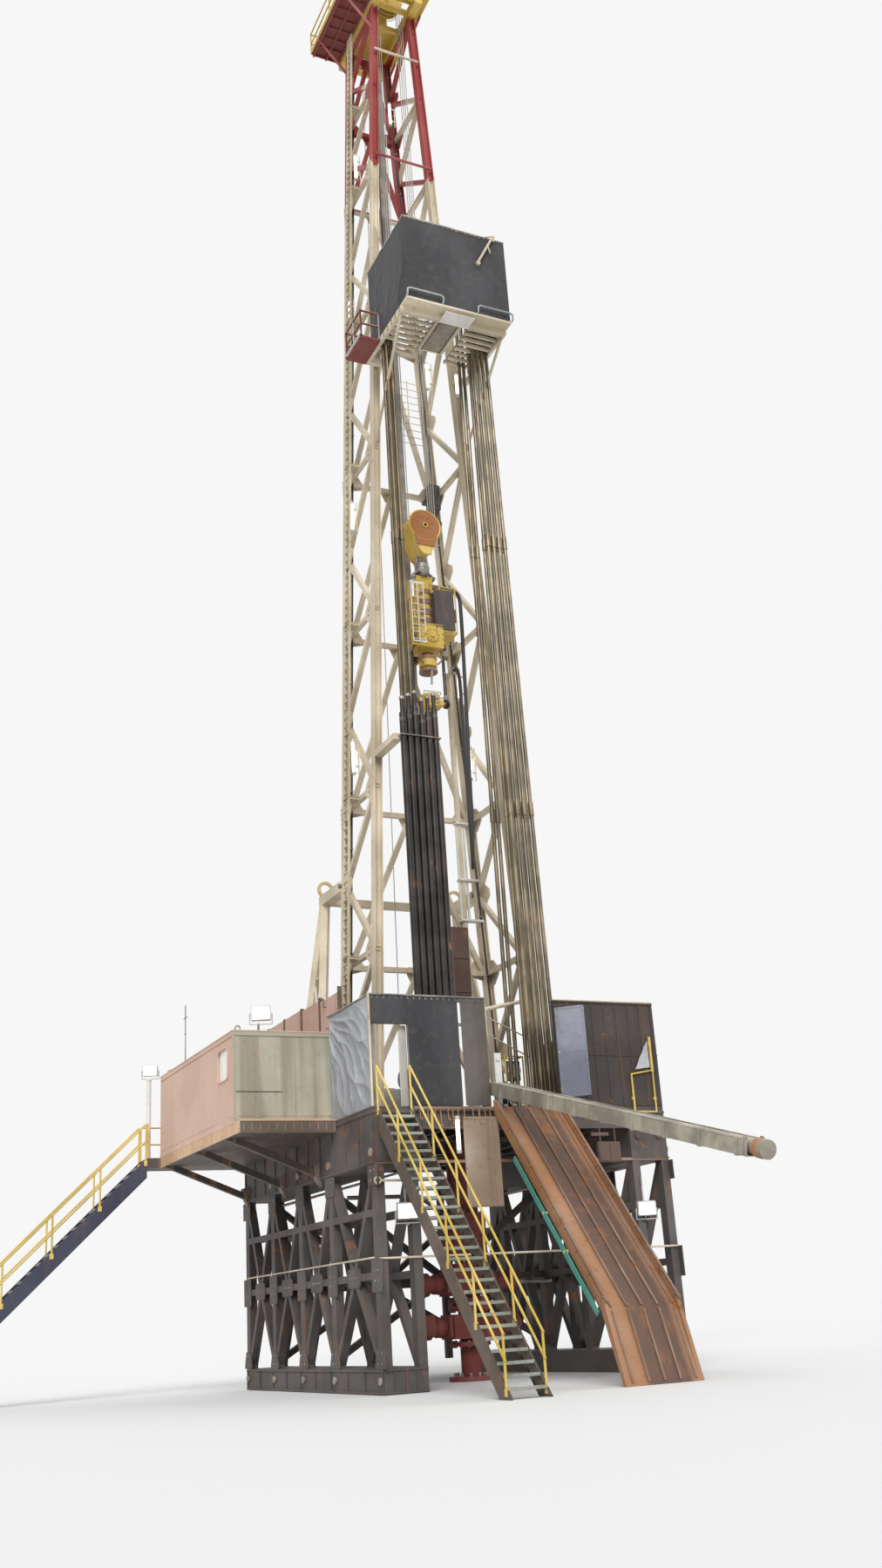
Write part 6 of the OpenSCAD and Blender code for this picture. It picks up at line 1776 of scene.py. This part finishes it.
class RIG_OT_preventers(bpy.types.Operator):
    """Adds the wellhead's bolts, side outlets and handwheels"""

    bl_idname = "rig.preventers"
    bl_label = "Preventers"

    def execute(self, context):
        nuts = [
            drum((*spot, z), 0.020, 0.10, "Z", 6, 0.002)
            for z in (0.06, 0.49, 0.96, 1.07, 1.57) for spot in around(12, 0.245)]
        nuts += [drum((*spot, 2.27), 0.018, 0.04, "Z", 6, 0.002) for spot in around(16, 0.29)]
        made(nuts, "flange_studs", "worn_steel")
        body = [drum((0, 0, z), 0.335, 0.05, "Z", 56, 0.010) for z in (1.70, 1.92, 2.16)]
        for z in (0.725, 1.305):
            for s in (-1, 1):
                body.append(plate((s * 0.335, -0.20, z - 0.14), (s * 0.40, 0.20, z + 0.14), 0.012))
                body.append(drum((s * 0.50, 0, z), 0.135, 0.10, "X", 36, 0.010))
                body.append(drum((s * 0.70, 0, z), 0.163, 0.03, "X", 36, 0.006))
        made(body, "preventer_bodies", "preventer_red", ROOT)
        side, wheels = [], []
        for s in (-1, 1):
            side += [
                drum((0, s * 0.34, 1.01), 0.05, 0.38, "Y", 24, 0.004),
                drum((0, s * 0.20, 1.01), 0.085, 0.04, "Y", 28, 0.005),
                plate((-0.07, s * 0.40, 0.93), (0.07, s * 0.54, 1.09), 0.010)]
            wheels += [
                ring((0, s * 0.47, 1.20), 0.07, 0.010, "Z", 32),
                drum((0, s * 0.47, 1.14), 0.012, 0.14, "Z", 12, 0.002),
                tube([(-0.07, s * 0.47, 1.20), (0.07, s * 0.47, 1.20)], 0.007, 8),
                ring((s * 0.79, 0, 0.725), 0.085, 0.010, "X", 32),
                tube([(s * 0.79, -0.085, 0.725), (s * 0.79, 0.085, 0.725)], 0.007, 8),
                drum((s * 0.77, 0, 0.725), 0.012, 0.06, "X", 12, 0.002)]
        made(side, "side_outlets", "preventer_red", ROOT)
        made(wheels, "handwheels", "worn_steel")
        return {"FINISHED"}


class RIG_OT_floor_machines(bpy.types.Operator):
    """Adds the fittings of the rotary table, drawworks, A-frame, standpipe and cabinet"""

    bl_idname = "rig.floor_machines"
    bl_label = "Floor Machines"

    def execute(self, context):
        bush = [ring((0, 0, 3.553), 0.20, 0.014, "Z", 56), ring((0, 0, 3.553), 0.40, 0.010, "Z", 64)]
        bush += [drum((*spot, 3.552), 0.035, 0.014, "Z", 20, 0.003) for spot in around(4, 0.30, 0.5)]
        made(bush, "rotary_rings", "worn_steel")
        cover = []
        for s in (-1, 1):
            for z in (3.80, 4.12, 4.38):
                cover.append(plate((s * 0.782, 1.90, z - 0.10), (s * 0.796, 2.70, z + 0.10), 0.006))
            cover.append(drum((s * 0.80, 2.3, 4.12), 0.11, 0.05, "X", 32, 0.008))
            cover.append(plate((s * 0.64, 1.86, 4.50), (s * 0.78, 2.74, 4.516)))
        cover.append(plate((-0.64, 2.66, 3.62), (0.64, 2.70, 4.30), 0.010))
        cover.append(row(plate((-0.60, 2.70, 3.75), (0.60, 2.708, 3.765), 0.002), 8, (0, 0, 0.06)))
        made(cover, "drawworks_covers", "grey_paint")
        motor = [
            drum((0.50, 2.56, 4.66), 0.16, 0.48, "X", 36, 0.012),
            plate((0.30, 2.42, 4.50), (0.70, 2.70, 4.54), 0.005),
            plate((0.66, 2.46, 4.74), (0.76, 2.66, 4.88), 0.008)]
        motor.append(row(ring((0.32, 2.56, 4.66), 0.163, 0.006, "X", 36), 10, (0.04, 0, 0)))
        made(motor, "drawworks_motor", "grey_paint")
        brake = []
        for s in (-1, 1):
            for a in (math.radians(d) for d in (40, 140, 270)):
                y, z = 2.3 + 0.36 * math.cos(a), 4.12 + 0.36 * math.sin(a)
                brake.append(plate((s * 0.53, y - 0.05, z - 0.05), (s * 0.605, y + 0.05, z + 0.05), 0.006))
        made(brake, "brake_calipers", "red_paint")
        feet, pins = [], []
        for y in (1.45, 2.70):
            feet.append(plate((-1.78, y - 0.13, FLOOR), (-1.52, y + 0.13, FLOOR + 0.022)))
            lug = [(y - 0.12, 3.52), (y + 0.12, 3.52), (y + 0.05, 3.70), (y - 0.05, 3.70)]
            feet += [cutout(lug, 0.016, "X", x) for x in (-1.72, -1.565)]
            pins.append(drum((-1.642, y, 3.62), 0.030, 0.20, "X", 20, 0.004))
        for z in (4.8, 6.2):
            t = (z - FLOOR) / 4.1
            x = -1.65 + 0.45 * t
            feet.append(tube([(x, 1.45 + 0.55 * t, z), (x, 2.70 - 0.70 * t, z)], 0.022, 12))
        feet.append(tube([(-1.50735, 1.62435, 4.8), (-1.35345, 2.2387, 6.2)], 0.018, 10))
        paired(feet, "a_frame_fittings", "cream_paint")
        pins.append(drum((-1.2, 1.14, 7.52), 0.035, 0.22, "X", 20, 0.004))
        paired(pins, "a_frame_pins", "worn_steel")
        hoops = both(ring((-1.2, 2.0, 7.71), 0.118, 0.028, "Y", 40))
        finished(hoops, "a_frame_hoops", "rail_yellow", ROOT)
        valve = [
            drum((0.86, 0.98, 4.35), 0.085, 0.05, "Z", 32, 0.005),
            drum((0.86, 0.98, 4.65), 0.085, 0.05, "Z", 32, 0.005),
            plate((0.79, 0.91, 4.40), (0.93, 1.03, 4.60), 0.012),
            drum((0.86, 0.86, 4.50), 0.012, 0.12, "Y", 12, 0.002),
            ring((0.86, 0.80, 4.50), 0.07, 0.009, "Y", 32)]
        made(valve, "standpipe_valve", "red_paint")
        finished(ring((0.86, 0.98, 11.5), 0.054, 0.006, "Z", 32), "neck_band", "worn_steel")
        box = [
            plate((0.40, 0.712, 5.70), (0.77, 0.722, 6.83), 0.003),
            plate((0.42, 0.700, 6.30), (0.75, 0.713, 6.80), 0.006),
            plate((0.42, 0.700, 5.74), (0.75, 0.713, 6.26), 0.006),
            drum((0.45, 0.697, 6.55), 0.012, 0.02, "Y", 12, 0.003)]
        made(box, "cabinet_doors", "brown_cabinet")
        saddle = [
            plate((0.62, 0.74, 14.74), (0.83, 0.95, 15.26), 0.012),
            plate((0.60, 0.90, 14.98), (0.92, 1.08, 15.03)),
            plate((0.66, 0.728, 14.80), (0.79, 0.742, 15.20), 0.005),
            tube([(0.66, 0.80, 14.74), (0.66, 0.80, 14.58), (0.80, 0.80, 14.52)], 0.020, 12),
            ring((0.80, 0.80, 14.48), 0.045, 0.012, "Y", 28)]
        made(saddle, "mast_box", "motor_dark", ROOT)
        screen = [
            tube([(0.12, 1.02, 16.25 + 0.15 * k), (half(17.6) - 0.05, 1.02, 16.25 + 0.15 * k)], 0.007, 6)
            for k in range(10)]
        screen += [tube([(x, 1.02, 16.2), (x, 1.02, 17.65)], 0.010, 8) for x in (0.12, 0.42, 0.70)]
        made(screen, "mast_screen", "cream_paint")
        step = [plate((0.78, 0.90, z), (half(z) - 0.03, 1.03, z + 0.035)) for z in (8.70, 7.70, 7.0)]
        step += [plate((x, 0.95, 7.0), (x + 0.035, 0.985, 8.73), 0.003) for x in (0.93, 0.79)]
        made(step, "mast_step_frame", "white_paint", ROOT)
        return {"FINISHED"}


class RIG_OT_pipes(bpy.types.Operator):
    """Adds the ends of the racked pipe, the collars' grooves and the basket's tubes"""

    bl_idname = "rig.pipes"
    bl_label = "Racked Pipe"

    def execute(self, context):
        grooves = []
        for i in range(6):
            x = -0.49 - 0.11 * i
            top = 9.8 - 0.06 * (i % 3)
            grooves += [ring((x, -1.12, top - 0.10 - 0.02 * k), 0.0505, 0.003, "Z", 28) for k in range(3)]
            grooves.append(drum((x, -1.12, top + 0.252), 0.040, 0.05, "Z", 28, 0.006))
        made(grooves, "collar_grooves", "worn_steel", ROOT)
        keeper = [
            tube([
                (-1.10, -1.06, 9.30), (-1.10, -1.185, 9.30), (-0.43, -1.185, 9.30), (-0.43, -1.06, 9.30)],
                0.010, 10),
            row(bolt((-1.10, -1.03, 9.33), "Y", 0.012), 2, (0, 0, -0.06))]
        made(keeper, "collar_keeper", "worn_steel")
        basket = [
            rail_run([
                (-1.0, -0.938, BOARD), (-1.338, -0.938, BOARD), (-1.338, -0.262, BOARD),
                (-1.0, -0.262, BOARD)], 0.5),
            plate((-1.352, -0.952, BOARD), (-1.344, -0.248, BOARD + 0.07), 0.002)]
        made(basket, "basket_rails", "rail_grey", ROOT)
        slats = row(
            plate((-1.34, -0.94, BOARD + 0.001), (-0.99, -0.93, BOARD + 0.006), 0.001), 24, (0, 0.0296, 0))
        finished(slats, "basket_grating", "worn_steel")
        return {"FINISHED"}


STEPS = (
    RIG_OT_finishes, RIG_OT_stage, RIG_OT_hose, RIG_OT_drill_lines, RIG_OT_mast_joints,
    RIG_OT_mast_fittings, RIG_OT_crown, RIG_OT_board, RIG_OT_pipes, RIG_OT_block, RIG_OT_top_drive,
    RIG_OT_elevator, RIG_OT_stair_pair, RIG_OT_ramp, RIG_OT_trough, RIG_OT_doghouse, RIG_OT_porch,
    RIG_OT_walls, RIG_OT_floor_edge, RIG_OT_substructure, RIG_OT_preventers, RIG_OT_floor_machines)


class RIG_PT_panel(bpy.types.Panel):
    """Lists the steps and the settings"""

    bl_idname = "RIG_PT_panel"
    bl_label = "Drilling Rig"
    bl_space_type = "VIEW_3D"
    bl_region_type = "UI"
    bl_category = "Rig"

    def draw(self, context):
        for key in RigSettings.__annotations__:
            self.layout.prop(context.scene.rig_settings, key)
        for step in STEPS:
            self.layout.operator(step.bl_idname)


CLASSES = (RigSettings, *STEPS, RIG_PT_panel)


def register():
    for cls in CLASSES:
        bpy.utils.register_class(cls)
    bpy.types.Scene.rig_settings = bpy.props.PointerProperty(type=RigSettings)


def unregister():
    del bpy.types.Scene.rig_settings
    for cls in reversed(CLASSES):
        bpy.utils.unregister_class(cls)


def main():
    register()
    for step in STEPS:
        group, name = step.bl_idname.split(".")
        getattr(getattr(bpy.ops, group), name)()
    bpy.context.view_layer.update()


if __name__ == "__main__":
    main()
